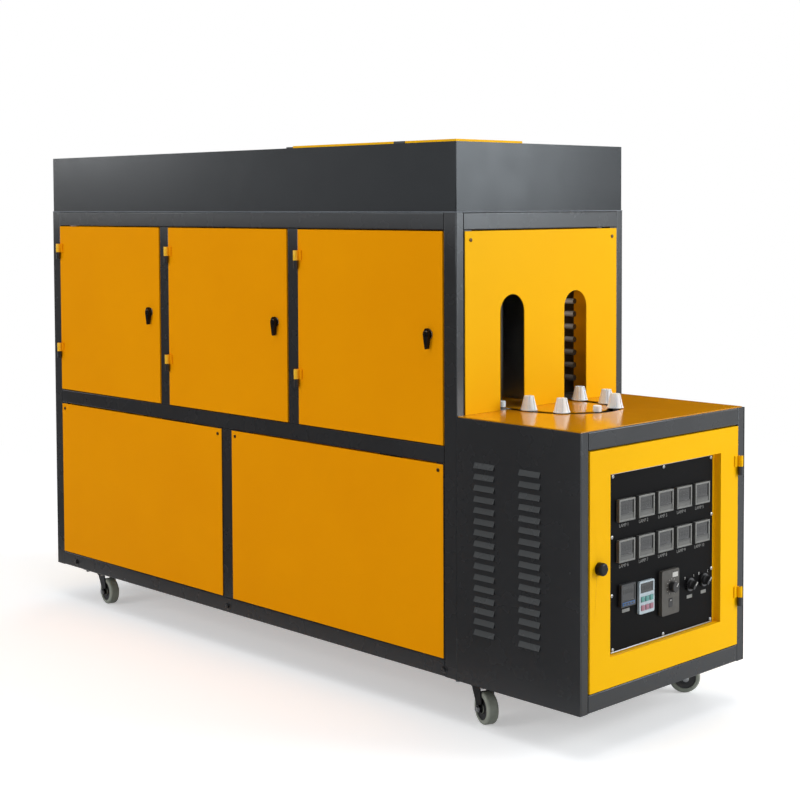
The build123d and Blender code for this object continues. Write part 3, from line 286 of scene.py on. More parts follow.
def paint_upward_light(paint, tone):
    """Painted light: paler where a face leans upwards, as if lit from above."""
    tree = paint.node_tree
    place = tree.nodes.new("ShaderNodeTexCoord")
    split = tree.nodes.new("ShaderNodeSeparateXYZ")
    lean = tree.nodes.new("ShaderNodeMapRange")
    lean.inputs["From Min"].default_value = UPWARD_LIGHT_START
    lean.inputs["From Max"].default_value = UPWARD_LIGHT_FULL
    layer = tree.nodes.new("ShaderNodeMix")
    layer.data_type = "RGBA"
    layer.inputs["B"].default_value = tone
    base = shader_of(paint).inputs["Base Color"]
    tree.links.new(base.links[0].from_socket, layer.inputs["A"])
    tree.links.new(place.outputs["Normal"], split.inputs["Vector"])
    tree.links.new(split.outputs["Z"], lean.inputs["Value"])
    tree.links.new(lean.outputs["Result"], layer.inputs["Factor"])
    tree.links.new(layer.outputs["Result"], base)


def moulded(name, colour, roughness, grain=1600, strength=0.15):
    """Moulded plastic with a fine spark texture."""
    paint = finish(name, colour, roughness)
    lighter = tuple(min(1.0, 1.12 * c + 0.003) for c in colour[:3]) + (1.0,)
    blend_colour(paint, surface_noise(paint, 60.0, 2.0), colour, lighter)
    blend_gloss(paint, surface_noise(paint, 90.0, 2.0), roughness - 0.05, roughness + 0.08)
    raise_grain(paint, surface_noise(paint, grain, 1.0), strength, 0.0003)
    return paint


def bare_metal(name, colour, roughness, stretch):
    """Bright metal with a drawn grain along one axis."""
    paint = finish(name, colour, roughness, 1.0)
    darker = tuple(0.82 * c for c in colour[:3]) + (1.0,)
    grain = surface_noise(paint, 300.0, 3.0, stretch)
    blend_colour(paint, grain, darker, colour)
    blend_gloss(paint, grain, roughness - 0.06, roughness + 0.1)
    raise_grain(paint, grain, 0.1, 0.0002)
    return paint


# The two yellows below are one paint: the side copy is darker and more orange as painted shade, the
# end copy is brighter as painted light.
shaded_side_yellow = powder_coat(
    "shaded_side_yellow", srgb(246, 160, 1), srgb(242, 155, 1), 0.45, 900, 0.12, 0.015
)
lit_end_yellow = powder_coat("lit_end_yellow", srgb(251, 190, 4), srgb(248, 185, 3), 0.42, 900, 0.12, 0.05)
# A brighter copy of the door yellow: painted light on the hinge knuckles, which face the lamp.
lit_sleeve_yellow = powder_coat(
    "lit_sleeve_yellow", srgb(255, 200, 40), srgb(252, 194, 34), 0.3, 900, 0.08, 0.4
)
table_yellow = powder_coat(
    "table_yellow", srgb(232, 156, 4), srgb(226, 149, 3), 0.13, 500, 0.05, 0.45
)
frame_grey = powder_coat("frame_grey", srgb(51, 51, 52), srgb(47, 47, 48), 0.26, 700, 0.05, 0.42)
hood_grey = powder_coat("hood_grey", srgb(30, 31, 33), srgb(27, 28, 30), 0.22, 520, 0.1, 0.27)
louvre_grey = powder_coat("louvre_grey", srgb(51, 51, 52), srgb(47, 47, 48), 0.26, 700, 0.05, 0.42)
# Louvre slats painted paler on their upward faces: painted light from above.
paint_upward_light(louvre_grey, srgb(72, 73, 73))
shader_of(louvre_grey).inputs["Specular Tint"].default_value = (0.86, 0.94, 1.0, 1)
shader_of(hood_grey).inputs["Specular Tint"].default_value = (0.84, 0.93, 1.0, 1)
shader_of(frame_grey).inputs["Specular Tint"].default_value = (0.86, 0.94, 1.0, 1)
inner_steel = bare_metal("deck_steel", srgb(150, 150, 150), 0.42, (1, 12, 12))
reflector_aluminium = bare_metal("reflector_aluminium", srgb(205, 207, 210), 0.28, (1, 20, 20))
chain_steel = bare_metal("chain_steel", srgb(120, 118, 114), 0.45, (1, 1, 1))
collar_chrome = bare_metal("collar_chrome", srgb(186, 184, 176), 0.2, (1, 1, 1))
screw_zinc = bare_metal("screw_zinc", srgb(176, 178, 180), 0.32, (1, 1, 1))
screw_brown = bare_metal("screw_brown", srgb(104, 84, 62), 0.4, (1, 1, 1))
panel_black = powder_coat("panel_black", srgb(15, 15, 16), srgb(12, 12, 13), 0.38, 1400, 0.08, 0.05)
moulded_black = moulded("moulded_black", srgb(26, 26, 27), 0.36)
meter_grey = moulded("meter_grey", srgb(78, 78, 76), 0.42)
bezel_grey = moulded("bezel_grey", srgb(114, 114, 110), 0.42)
knob_black = moulded("knob_black", srgb(15, 14, 14), 0.3)
shader_of(knob_black).inputs["Specular IOR Level"].default_value = 0.2
ring_steel = bare_metal("ring_steel", srgb(96, 97, 99), 0.3, (1, 1, 1))
timer_black = moulded("timer_black", srgb(40, 41, 43), 0.4)
keypad_silver = moulded("keypad_silver", srgb(172, 184, 190), 0.38)
speed_brown = moulded("speed_brown", srgb(66, 63, 58), 0.5)
cup_nylon = moulded("cup_nylon", srgb(236, 244, 252), 0.4, 700, 0.08)
shader_of(cup_nylon).inputs["Subsurface Weight"].default_value = 0.08
shader_of(cup_nylon).inputs["Subsurface Radius"].default_value = (0.004, 0.004, 0.0035)
drive_enamel = powder_coat("drive_enamel", srgb(92, 100, 106), srgb(84, 92, 98), 0.5, 400, 0.3)
fork_zinc = bare_metal("fork_black_zinc", srgb(52, 53, 55), 0.4, (1, 1, 1))
tread_rubber = moulded("tread_rubber", srgb(152, 156, 144), 0.55, 900, 0.3)
hub_black = moulded("hub_black", srgb(38, 38, 40), 0.45)
lens_dark = finish("lens_dark", srgb(36, 37, 38), 0.12)
blend_gloss(lens_dark, surface_noise(lens_dark, 40.0), 0.08, 0.2)
shader_of(lens_dark).inputs["Coat Weight"].default_value = 0.5
shader_of(lens_dark).inputs["Coat Roughness"].default_value = 0.05
segment_grey = finish("segment_grey", srgb(56, 57, 56), 0.4)
blend_colour(segment_grey, surface_noise(segment_grey, 80.0), srgb(52, 53, 52), srgb(60, 61, 60))
print_white = finish("print_white", srgb(196, 194, 188), 0.6)
blend_colour(
    print_white, surface_noise(print_white, 500.0), srgb(180, 178, 172), srgb(205, 203, 198)
)
print_grey = finish("print_grey", srgb(128, 127, 124), 0.6)
blend_colour(print_grey, surface_noise(print_grey, 500.0), srgb(118, 117, 114), srgb(138, 137, 134))
strip_blue = moulded("strip_blue", srgb(38, 88, 140), 0.4)
key_green = moulded("key_green", srgb(84, 140, 134), 0.45)
key_red = moulded("key_red", srgb(152, 104, 116), 0.45)
# Pale grey of the bead at the hood's foot: a painted highlight where the rounded rail edge catches
# the light.
lip_highlight_grey = powder_coat("lip_highlight_grey", srgb(118, 124, 130), srgb(104, 109, 115), 0.5, 600, 0.3)
strip_grey = moulded("strip_grey", srgb(92, 92, 89), 0.42)
plate_grey = moulded("plate_grey", srgb(122, 122, 118), 0.5)
strip_bright = bare_metal("strip_bright", srgb(196, 198, 200), 0.3, (1, 1, 20))


LAMP_MIDDLE, TUBE_HALF = 0.095, 0.6552


def shaded_lamp_glass():
    """Quartz tube between matt ceramic ends, both darkened as painted shade of the oven's inside.
    """
    paint = finish("shaded_lamp_quartz", srgb(214, 206, 196), 0.12)
    tree = paint.node_tree
    place = tree.nodes.new("ShaderNodeTexCoord")
    split = tree.nodes.new("ShaderNodeSeparateXYZ")
    middle = tree.nodes.new("ShaderNodeMath")
    middle.operation = "ADD"
    middle.inputs[1].default_value = LAMP_MIDDLE
    reach = tree.nodes.new("ShaderNodeMath")
    reach.operation = "ABSOLUTE"
    ends = tree.nodes.new("ShaderNodeMath")
    ends.operation = "GREATER_THAN"
    ends.inputs[1].default_value = TUBE_HALF
    ramp = tree.nodes.new("ShaderNodeValToRGB")
    ramp.color_ramp.interpolation = "CONSTANT"
    # Both colours are painted shade: tube and ceramic ends darkened for the dark inside of the
    # oven.
    ramp.color_ramp.elements[0].color = srgb(96, 90, 86)
    ramp.color_ramp.elements[1].position = 0.5
    ramp.color_ramp.elements[1].color = srgb(112, 108, 104)
    gloss = tree.nodes.new("ShaderNodeMapRange")
    gloss.inputs["To Min"].default_value = 0.12
    gloss.inputs["To Max"].default_value = 0.6
    tree.links.new(place.outputs["Object"], split.inputs["Vector"])
    tree.links.new(split.outputs["X"], middle.inputs[0])
    tree.links.new(middle.outputs[0], reach.inputs[0])
    tree.links.new(reach.outputs[0], ends.inputs[0])
    tree.links.new(ends.outputs[0], ramp.inputs["Fac"])
    tree.links.new(ends.outputs[0], gloss.inputs["Value"])
    tree.links.new(ramp.outputs["Color"], shader_of(paint).inputs["Base Color"])
    tree.links.new(gloss.outputs["Result"], shader_of(paint).inputs["Roughness"])
    return paint


shaded_lamp_quartz = shaded_lamp_glass()

node_finishes = {
    shaded_side_yellow: ["door_1", "door_2", "door_3", "lower_panel_1", "lower_panel_2", "back_panels"],
    lit_end_yellow: ["arch_panel", "control_door", "rear_panels", "box_far_cover", "top_lid"],
    table_yellow: ["table_top"],
    frame_grey: ["main_frame", "box_frame", "box_far_panel", "hinge_pins", "lid_brackets"],
    louvre_grey: ["box_side_panel"],
    hood_grey: ["hood"],
    inner_steel: ["oven_deck", "lamp_brackets", "deck_pedestals"],
    chain_steel: ["conveyor_chain", "front_sprocket", "rear_sprocket"],
    reflector_aluminium: ["centre_reflector", "power_modules"],
    shaded_lamp_quartz: ["quartz_lamps"],
    cup_nylon: ["spindle_heads", *[f"preform_cup_{i}" for i in range(1, 6)]],
    drive_enamel: ["gearmotor", "flange_bearings"],
    fork_zinc: ["caster_plates", *[f"caster_fork_{i}" for i in range(1, 5)]],
    tread_rubber: [f"caster_wheel_{i}" for i in range(1, 5)],
    panel_black: ["control_panel"],
    meter_grey: ["lamp_meters"],
    timer_black: ["timer"],
    keypad_silver: ["keypad"],
    speed_brown: ["speed_controller"],
    ring_steel: ["selector_bodies"],
    knob_black: ["control_door_knob", "door_latch_1", "door_latch_2", "door_latch_3"],
    moulded_black: [
        "speed_knob", "run_rocker", "selector_lever_1", "selector_lever_2", "cable_gland",
    ],
}
for paint, names in node_finishes.items():
    for name in names:
        for holder in nodes[name].material_slots:
            holder.material = paint


WELD_REACH = 0.00002
TUBE_ROUND, SHEET_ROUND = 0.0012, 0.0008


def soften_edges(names, width):
    """Folded sheet and tube keep a small round on their edges, which catches the light."""
    for name in names:
        weld = nodes[name].modifiers.new("weld", "WELD")
        weld.merge_threshold = WELD_REACH
        edge = nodes[name].modifiers.new("edge", "BEVEL")
        edge.width = width
        edge.segments = 2
        edge.limit_method = "ANGLE"
        edge.angle_limit = radians(50)
        edge.use_clamp_overlap = True


soften_edges(["main_frame", "box_frame", "hood"], TUBE_ROUND)
soften_edges(
    ["door_1", "door_2", "door_3", "lower_panel_1", "lower_panel_2", "control_door"], SHEET_ROUND
)


# Tools for modelling the added pieces

def nothing_picked():
    """Back to object mode with nothing selected."""
    if bpy.context.mode != "OBJECT":
        bpy.ops.object.mode_set(mode="OBJECT")
    bpy.ops.object.select_all(action="DESELECT")


def start_block(name, centre, size):
    """A block at its place, to be shaped further."""
    nothing_picked()
    bpy.ops.mesh.primitive_cube_add(size=1, location=centre, scale=size)
    bpy.ops.object.transform_apply(location=True, rotation=True, scale=True)
    bpy.context.active_object.name = name
    return bpy.context.active_object


def start_round(name, centre, radius, depth, axis="Z", sides=32):
    """A round bar at its place, to be shaped further."""
    nothing_picked()
    turn = {"X": (0, pi / 2, 0), "Y": (pi / 2, 0, 0), "Z": (0, 0, 0)}[axis]
    bpy.ops.mesh.primitive_cylinder_add(
        vertices=sides, radius=radius, depth=depth, location=centre, rotation=turn
    )
    bpy.ops.object.transform_apply(location=True, rotation=True, scale=True)
    bpy.context.active_object.name = name
    return bpy.context.active_object


def pick_faces(piece, way, limit=0.9):
    """Edit mode with the faces that look one way selected."""
    if bpy.context.mode != "EDIT_MESH":
        bpy.ops.object.mode_set(mode="EDIT")
    bpy.ops.mesh.select_mode(type="FACE")
    bpy.ops.mesh.select_all(action="DESELECT")
    mesh = bmesh.from_edit_mesh(piece.data)
    for face in mesh.faces:
        face.select_set(face.normal.dot(Vector(way)) > limit)
    bmesh.update_edit_mesh(piece.data)


def round_edges(piece, width, steps=2, angle=40):
    """Bevelled edges wherever two faces meet at a corner."""
    nothing_picked()
    piece.select_set(True)
    bpy.context.view_layer.objects.active = piece
    edge = piece.modifiers.new("edge", "BEVEL")
    edge.width = width
    edge.segments = steps
    edge.limit_method = "ANGLE"
    edge.angle_limit = radians(angle)
    bpy.ops.object.modifier_apply(modifier="edge")
    bpy.ops.object.shade_smooth_by_angle(angle=radians(35))


def raised_face(piece, way, border, rise):
    """The face that looks one way gets a border and moves in or out."""
    pick_faces(piece, way)
    bpy.ops.mesh.inset(thickness=border, depth=0)
    bpy.ops.mesh.extrude_region_move()
    bpy.ops.transform.translate(value=tuple(rise * c for c in way))
    bpy.ops.object.mode_set(mode="OBJECT")


def cut_with(piece, tool):
    """One piece cut by another, which is then thrown away."""
    nothing_picked()
    piece.select_set(True)
    bpy.context.view_layer.objects.active = piece
    cut = piece.modifiers.new("cut", "BOOLEAN")
    cut.object = tool
    cut.solver = "EXACT"
    bpy.ops.object.modifier_apply(modifier="cut")
    bpy.data.objects.remove(tool)


def joined(name, pieces):
    """Several pieces made one mesh."""
    nothing_picked()
    for piece in pieces:
        piece.select_set(True)
    bpy.context.view_layer.objects.active = pieces[0]
    if len(pieces) > 1:
        bpy.ops.object.join()
    whole = bpy.context.active_object
    whole.name = name
    return whole


def copies(name, master, places, turn=(0, 0, 0), keep=False):
    """Copies of one modelled piece at several places, each with its own mesh, joined."""
    made = []
    for place in places:
        nothing_picked()
        master.select_set(True)
        bpy.context.view_layer.objects.active = master
        bpy.ops.object.duplicate()
        twin = bpy.context.active_object
        twin.location = place
        twin.rotation_euler = turn
        bpy.ops.object.transform_apply(location=True, rotation=True, scale=True)
        made.append(twin)
    if not keep:
        bpy.data.objects.remove(master)
    return joined(name, made)


def dressed(piece, paint, body):
    """A finished piece with its finish, riding on its body."""
    nothing_picked()
    piece.data.materials.clear()
    piece.data.materials.append(paint)
    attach(piece, body)
    return piece


def lettering(name, words, place, height, turn, thickness=0.00015):
    """Flat printed characters, centred on a place."""
    nothing_picked()
    bpy.ops.object.text_add(location=(0, 0, 0))
    text = bpy.context.active_object
    text.data.body = words
    text.data.size = height
    text.data.extrude = thickness
    text.data.align_x = "CENTER"
    text.data.align_y = "CENTER"
    bpy.ops.object.convert(target="MESH")
    text = bpy.context.active_object
    text.name = name
    text.location = place
    text.rotation_euler = turn
    bpy.ops.object.transform_apply(location=True, rotation=True, scale=True)
    return text


FACING_END = (pi / 2, 0, pi / 2)
UP, OUTWARDS, NEAR = (0, 0, 1), (1, 0, 0), (0, -1, 0)
TURN = {
    "near": (pi / 2, 0, 0),
    "far": (-pi / 2, 0, 0),
    "front": (0, pi / 2, 0),
    "rear": (0, -pi / 2, 0),
    "down": (pi, 0, 0),
}


# Fasteners, each modelled once on the floor's centre with its head up

def pan_screw(radius, rise):
    """Round-headed screw with a cross recess."""
    head = start_round("screw", (0, 0, rise / 2), radius, rise, "Z", 20)
    pick_faces(head, UP)
    bpy.ops.mesh.inset(thickness=radius * 0.3, depth=0)
    bpy.ops.transform.translate(value=(0, 0, rise * 0.35))
    bpy.ops.mesh.inset(thickness=radius * 0.3, depth=0)
    bpy.ops.transform.translate(value=(0, 0, rise * 0.1))
    bpy.ops.object.mode_set(mode="OBJECT")
    for size in ((radius * 1.1, radius * 0.26, rise), (radius * 0.26, radius * 1.1, rise)):
        bar = start_block("bar", (0, 0, rise * 1.3), size)
        cut_with(head, bar)
    round_edges(head, radius * 0.06, 1, 50)
    return head


def hex_bolt(across, rise, washer):
    """Hexagon head on a washer."""
    head = start_round("bolt", (0, 0, 0.0012 + rise / 2), across / 2 / cos(pi / 6), rise, "Z", 6)
    pick_faces(head, UP)
    bpy.ops.mesh.inset(thickness=across * 0.07, depth=0)
    bpy.ops.transform.translate(value=(0, 0, rise * 0.12))
    bpy.ops.object.mode_set(mode="OBJECT")
    round_edges(head, across * 0.03, 2)
    plate = start_round("washer", (0, 0, 0.0006), washer / 2, 0.0012, "Z", 24)
    round_edges(plate, 0.0003, 2)
    return joined("bolt", [head, plate])


# Panels, rails and hood

X_REAR, X_FRONT = -1.02, 0.66
HALF = 0.3
SHEET = 0.002
PANEL_SCREW = (0.0042, 0.0017)
LOWER_PANELS = [(-0.978, -0.202), (-0.158, 0.618)]
LOWER_INSET = 0.015
LOWER_LOW_Z, LOWER_HIGH_Z = 0.156, 0.574
BACK_STARTS = (-0.978, -0.431, 0.115)
BACK_LEFT, BACK_CENTRE, BACK_RIGHT = 0.014, 0.251, 0.489
BACK_LOW_Z, BACK_MID_Z, BACK_HIGH_Z = 0.646, 0.875, 1.104
END_Y = 0.255
ARCH_Z = 1.098
REAR_ZS = (0.156, 0.365, 0.574, 0.646, 0.875, 1.104)
COVER_XS, COVER_ZS, COVER_FACE = (0.69, 0.84, 0.99), (0.146, 0.52), 0.006


def panel_screw_places():
    """Screw places of the fixed panels, by the way that each panel looks."""
    places = {"near": [], "far": [], "front": [], "rear": []}
    for low, high in LOWER_PANELS:
        for x in (low + LOWER_INSET, high - LOWER_INSET):
            places["near"].append((x, -HALF - SHEET, LOWER_HIGH_Z))
            for z in (LOWER_LOW_Z, LOWER_HIGH_Z):
                places["far"].append((x, HALF + SHEET, z))
    for start in BACK_STARTS:
        for x in (start + BACK_LEFT, start + BACK_CENTRE, start + BACK_RIGHT):
            for z in (BACK_LOW_Z, BACK_HIGH_Z):
                places["far"].append((x, HALF + SHEET, z))
        for x in (start + BACK_LEFT, start + BACK_RIGHT):
            places["far"].append((x, HALF + SHEET, BACK_MID_Z))
    for y in (-END_Y, END_Y):
        places["front"].append((X_FRONT + SHEET, y, ARCH_Z))
        for z in REAR_ZS:
            places["rear"].append((X_REAR - SHEET, y, z))
    for x in COVER_XS:
        for z in COVER_ZS:
            places["far"].append((x, HALF + COVER_FACE, z))
    return places


def fit_panel_screws():
    """Screws of the fixed panels. On the near side only the upper corners have them."""
    screws = []
    master = pan_screw(*PANEL_SCREW)
    for side, spots in panel_screw_places().items():
        screws.append(copies(f"screws_{side}", master, spots, TURN[side], keep=True))
    bpy.data.objects.remove(master)
    dressed(joined("panel_screws", screws), screw_brown, "machine")


RAIL_BOLT_XS, RAIL_BOLT_Z = (-0.913, -0.182, 0.62), 0.116


def fit_rail_bolts():
    """Bolts through the bottom rails that hold the caster cross members."""
    master = hex_bolt(0.010, 0.0045, 0.018)
    places = [(x, -HALF, RAIL_BOLT_Z) for x in RAIL_BOLT_XS]
    near = copies("rail_bolts_near", master, places, TURN["near"], keep=True)
    places = [(x, HALF, RAIL_BOLT_Z) for x in RAIL_BOLT_XS]
    far = copies("rail_bolts_far", master, places, TURN["far"])
    dressed(joined("rail_bolts", [near, far]), ring_steel, "machine")


HOOD_X, HOOD_LENGTH, LIP_Z = -0.18, 1.68, 1.1612
LIP_HEIGHT, LIP_WALL = 0.0026, 0.0024


def fit_hood_lip():
    """Rounded bead along the foot of the hood, on the step of the top rail, painted pale grey as a
    painted highlight of the edge.
    """
    lip = start_block("hood_lip", (HOOD_X, 0, LIP_Z), (HOOD_LENGTH, 2 * HALF, LIP_HEIGHT))
    for way in (UP, (0, 0, -1)):
        pick_faces(lip, way)
        bpy.ops.mesh.delete(type="FACE")
    nothing_picked()
    lip.select_set(True)
    bpy.context.view_layer.objects.active = lip
    wall = lip.modifiers.new("wall", "SOLIDIFY")
    wall.thickness = LIP_WALL
    wall.offset = -1
    bpy.ops.object.modifier_apply(modifier="wall")
    round_edges(lip, 0.0009, 3)
    dressed(lip, lip_highlight_grey, "machine")


# Instrument panel

PANEL_X = 1.009
PRINT_X = PANEL_X + 0.0002
PLATE_X = PANEL_X + 0.0003
METER_STEP = 0.0697
METER_YS = [(i - 2) * METER_STEP for i in range(5)]
METER_ZS = [0.51725, 0.42875]
METER_X, METER_LENS_X, METER_FIGURE_X = 1.016, 1.0145, 1.015
BEZEL_WIDTH, BEZEL_HEIGHT = 0.056, 0.049


def on_panel(piece, paint):
    """A finished piece of the instrument door."""
    return dressed(piece, paint, "instrument_door")


def thin_plate(name, centre, size, way, border, rise):
    """Thin plate whose face is sunk or raised inside a border."""
    plate = start_block(name, centre, size)
    raised_face(plate, way, border, rise)
    round_edges(plate, 0.0002, 1)
    return plate


def digit(width, height, stroke):
    """One unlit seven-bar figure, flat, facing up."""
    bars = []
    spots = [(0, y, width, stroke) for y in (height / 2, 0, -height / 2)]
    for x in (-width / 2, width / 2):
        spots += [(x, y, stroke, height / 2) for y in (-height / 4, height / 4)]
    for x, y, wide, tall in spots:
        size = (wide - stroke * 0.5, tall - stroke * 0.5, 0.0002)
        bar = start_block("bar", (x, y, 0.0001), size)
        pick_faces(bar, UP)
        bpy.ops.mesh.inset(thickness=stroke * 0.12, depth=0)
        bpy.ops.object.mode_set(mode="OBJECT")
        bars.append(bar)
    return joined("digit", bars)


def facing_end(angle):
    """The turn that faces the instrument end, with an angle about the way it faces."""
    return (Euler(FACING_END).to_matrix() @ Matrix.Rotation(radians(angle), 3, "Z")).to_euler()


def white_line(name, reach, width, length, angle, place, body):
    """White line on a knob or lever, out from its axis."""
    line = start_block("line", (0, reach, 0.0002), (width, length, 0.0005))
    raised_face(line, UP, 0.0004, 0.0001)
    line = copies(name, line, [place], facing_end(angle))
    dressed(line, print_white, body)


def fit_meters():
    """Bezel, lens, unlit figures, key strip and number of each lamp meter."""
    spots = [(y, z) for z in METER_ZS for y in METER_YS]
    bezel = start_block("bezel", (0, 0, 0.0007), (BEZEL_WIDTH, BEZEL_HEIGHT, 0.0014))
    tool = start_block("tool", (0, 0, 0), (BEZEL_WIDTH - 0.009, BEZEL_HEIGHT - 0.008, 0.01))
    cut_with(bezel, tool)
    round_edges(bezel, 0.0005, 2)
    places = [(METER_X, y, z) for y, z in spots]
    bezels = copies("meter_bezels", bezel, places, FACING_END)
    on_panel(bezels, bezel_grey)
    lens = thin_plate("lens", (0, 0, 0.0004), (0.0456, 0.0276, 0.0008), UP, 0.0016, -0.0003)
    places = [(METER_LENS_X, y, z + 0.0055) for y, z in spots]
    lenses = copies("meter_lenses", lens, places, FACING_END)
    on_panel(lenses, lens_dark)
    figure = digit(0.0068, 0.0128, 0.0017)
    steps = (-0.0115, 0, 0.0115)
    places = [(METER_FIGURE_X, y + step, z + 0.0058) for y, z in spots for step in steps]
    figures = copies("meter_figures", figure, places, FACING_END)
    on_panel(figures, segment_grey)
    strip = thin_plate("strip", (0, 0, 0.0004), (0.044, 0.0085, 0.0008), UP, 0.001, -0.0003)
    places = [(METER_X, y, z - 0.0165) for y, z in spots]
    strips = copies("meter_strips", strip, places, FACING_END)
    on_panel(strips, strip_grey)
    numbers = []
    for count, (y, z) in enumerate(spots, 1):
        place = (PRINT_X, y - 0.002, z - 0.0345)
        numbers.append(lettering("number", f"LAMP {count}", place, 0.0105, FACING_END))
    on_panel(joined("meter_numbers", numbers), print_grey)


TIMER_PLACE = (1.017, -0.134, 0.33)


def fit_timer():
    """Lens, figures, blue strip, key row and label plate of the timer."""
    x, y, z = TIMER_PLACE
    centre, size = (x - 0.0011, y, z + 0.0045), (0.0008, 0.0416, 0.0326)
    lens = thin_plate("timer_lens", centre, size, OUTWARDS, 0.0016, -0.0003)
    on_panel(lens, lens_dark)
    figure = digit(0.0052, 0.0095, 0.0014)
    steps = (-0.0135, -0.0045, 0.0045, 0.0135)
    places = [(x - 0.0009, y + step, z + 0.0085) for step in steps]
    figures = copies("timer_figures", figure, places, FACING_END)
    on_panel(figures, segment_grey)
    centre, size = (x + 0.0003, y, z - 0.018), (0.0006, 0.043, 0.0072)
    strip = thin_plate("timer_strip", centre, size, OUTWARDS, 0.0008, 0.0003)
    on_panel(strip, strip_blue)
    key = start_block("key", (0, 0, 0.0006), (0.0068, 0.0036, 0.0012))
    raised_face(key, UP, 0.0006, 0.0002)
    round_edges(key, 0.0003, 2)
    steps = (-0.0145, -0.0048, 0.0048, 0.0145)
    places = [(x + 0.0006, y + step, z - 0.018) for step in steps]
    keys = copies("timer_keys", key, places, FACING_END)
    on_panel(keys, meter_grey)
    centre, size = (PLATE_X, y, z - 0.035), (0.0006, 0.026, 0.0075)
    plate = thin_plate("timer_plate", centre, size, OUTWARDS, 0.0008, -0.0002)
    on_panel(plate, plate_grey)


KEYPAD_PLACE = (1.015, -0.066, 0.314)


def fit_keypad():
    """Display and two rows of keys of the temperature keypad."""
    x, y, z = KEYPAD_PLACE
    centre, size = (x - 0.0011, y, z + 0.021), (0.0008, 0.0456, 0.0216)
    lens = thin_plate("keypad_lens", centre, size, OUTWARDS, 0.0014, -0.0003)
    on_panel(lens, lens_dark)
    figure = digit(0.006, 0.0105, 0.0015)
    steps = (-0.015, -0.005, 0.005, 0.015)
    places = [(x - 0.0009, y + step, z + 0.021) for step in steps]
    figures = copies("keypad_figures", figure, places, FACING_END)
    on_panel(figures, segment_grey)
    key = start_block("key", (0, 0, 0.0009), (0.0118, 0.0118, 0.0018))
    raised_face(key, UP, 0.001, 0.0004)
    round_edges(key, 0.0005, 3)
    rows = [("keypad_keys_upper", -0.0035, key_green), ("keypad_keys_lower", -0.0225, key_red)]
    for name, drop, paint in rows:
        places = [(x, y + step, z + drop) for step in (-0.0155, 0, 0.0155)]
        keys = copies(name, key, places, FACING_END, keep=True)
        on_panel(keys, paint)
    bpy.data.objects.remove(key)


SPEED_PLACE = (1.018, 0.017, 0.31)
KNOB_Y, KNOB_Z, KNOB_TOP_X = 0.021, 0.322, 1.0313
TICK_COUNT, TICK_START, TICK_STEP = 11, 150, 30
POINTER_ANGLE = -40
ROCKER_MARK = (1.01845, 0.017, 0.2915)


def fit_speed_controller():
    """Label plate, scale, pointer and rocker mark of the motor speed controller."""
    x, y, z = SPEED_PLACE
    centre, size = (x + 0.0003, y + 0.0165, z + 0.0375), (0.0006, 0.02, 0.0105)
    label = thin_plate("speed_label", centre, size, OUTWARDS, 0.0008, -0.0002)
    on_panel(label, print_white)
    tick = start_block("tick", (0, 0.0172, 0.0001), (0.0009, 0.0036, 0.0002))
    raised_face(tick, UP, 0.0002, 0.00005)
    ticks = []
    for step in range(TICK_COUNT):
        turn = facing_end(TICK_START - TICK_STEP * step)
        ticks.append(copies("tick_copy", tick, [(x, KNOB_Y, KNOB_Z)], turn, keep=True))
    bpy.data.objects.remove(tick)
    on_panel(joined("speed_scale", ticks), print_white)
    place = (KNOB_TOP_X, KNOB_Y, KNOB_Z)
    white_line("speed_pointer", 0.0062, 0.0024, 0.0088, POINTER_ANGLE, place, "speed_dial")
    mark = start_round("rocker_mark", ROCKER_MARK, 0.0016, 0.0006, "X", 20)
    raised_face(mark, OUTWARDS, 0.0005, -0.0001)
    dressed(mark, print_white, "rocker")


SELECTORS = [(0.1, 0.312), (0.154, 0.314)]
SELECTOR_TOP_X = 1.0273
SELECTOR_ANGLE = -45
LEGEND_SIDE, LEGEND_RISE, LEGEND_SIZE = 0.017, 0.0165, 0.009


def fit_selectors():
    """White line on each selector lever, its legend above and a label plate below."""
    for count, (y, z) in enumerate(SELECTORS, 1):
        name, body = f"selector_line_{count}", f"selector_{count}"
        white_line(name, 0.0046, 0.0022, 0.0096, SELECTOR_ANGLE, (SELECTOR_TOP_X, y, z), body)
        legend = []
        for words, side in (("0", -LEGEND_SIDE), ("1", LEGEND_SIDE)):
            place = (PRINT_X, y + side, z + LEGEND_RISE)
            legend.append(lettering("legend", words, place, LEGEND_SIZE, FACING_END))
        on_panel(joined(f"selector_legend_{count}", legend), print_white)
        centre, size = (PLATE_X, y, z - 0.028), (0.0006, 0.02, 0.0075)
        plate = thin_plate(f"selector_plate_{count}", centre, size, OUTWARDS, 0.0008, -0.0002)
        on_panel(plate, plate_grey)


STRIP_ZS, STRIP_LENGTH = (0.2108, 0.5992), 0.374
TRIM_SCREW = (0.0042, 0.0018)
TRIM_YS, TRIM_ZS = (-0.181, 0, 0.181), (0.2165, 0.5935)
TRIM_SIDE_YS, TRIM_SIDE_ZS = (-0.184, 0.184), (0.335, 0.462)


def fit_panel_trim():
    """Bright edge strips and the screws of the instrument panel."""
    strips = []
    for z in STRIP_ZS:
        strip = start_block("strip", (PANEL_X + 0.0006, 0, z), (0.0012, STRIP_LENGTH, 0.0026))
        raised_face(strip, OUTWARDS, 0.0006, 0.0004)
        round_edges(strip, 0.0003, 2)
        strips.append(strip)
    on_panel(joined("panel_edge_strips", strips), strip_bright)
    master = pan_screw(*TRIM_SCREW)
    places = [(PANEL_X, y, z) for y in TRIM_YS for z in TRIM_ZS]
    places += [(PANEL_X, y, z) for y in TRIM_SIDE_YS for z in TRIM_SIDE_ZS]
    screws = copies("instrument_panel_screws", master, places, TURN["front"])
    on_panel(screws, screw_zinc)


# Latches, hinges and casters

LATCH_XS, LATCH_Z = [-0.5183333, 0.0283333, 0.575], 0.88284
COLLAR_Y, BAND_Y = -0.3033, -0.31425
COLLAR_RADIUS, COLLAR_HOLE = 0.0128, 0.0104


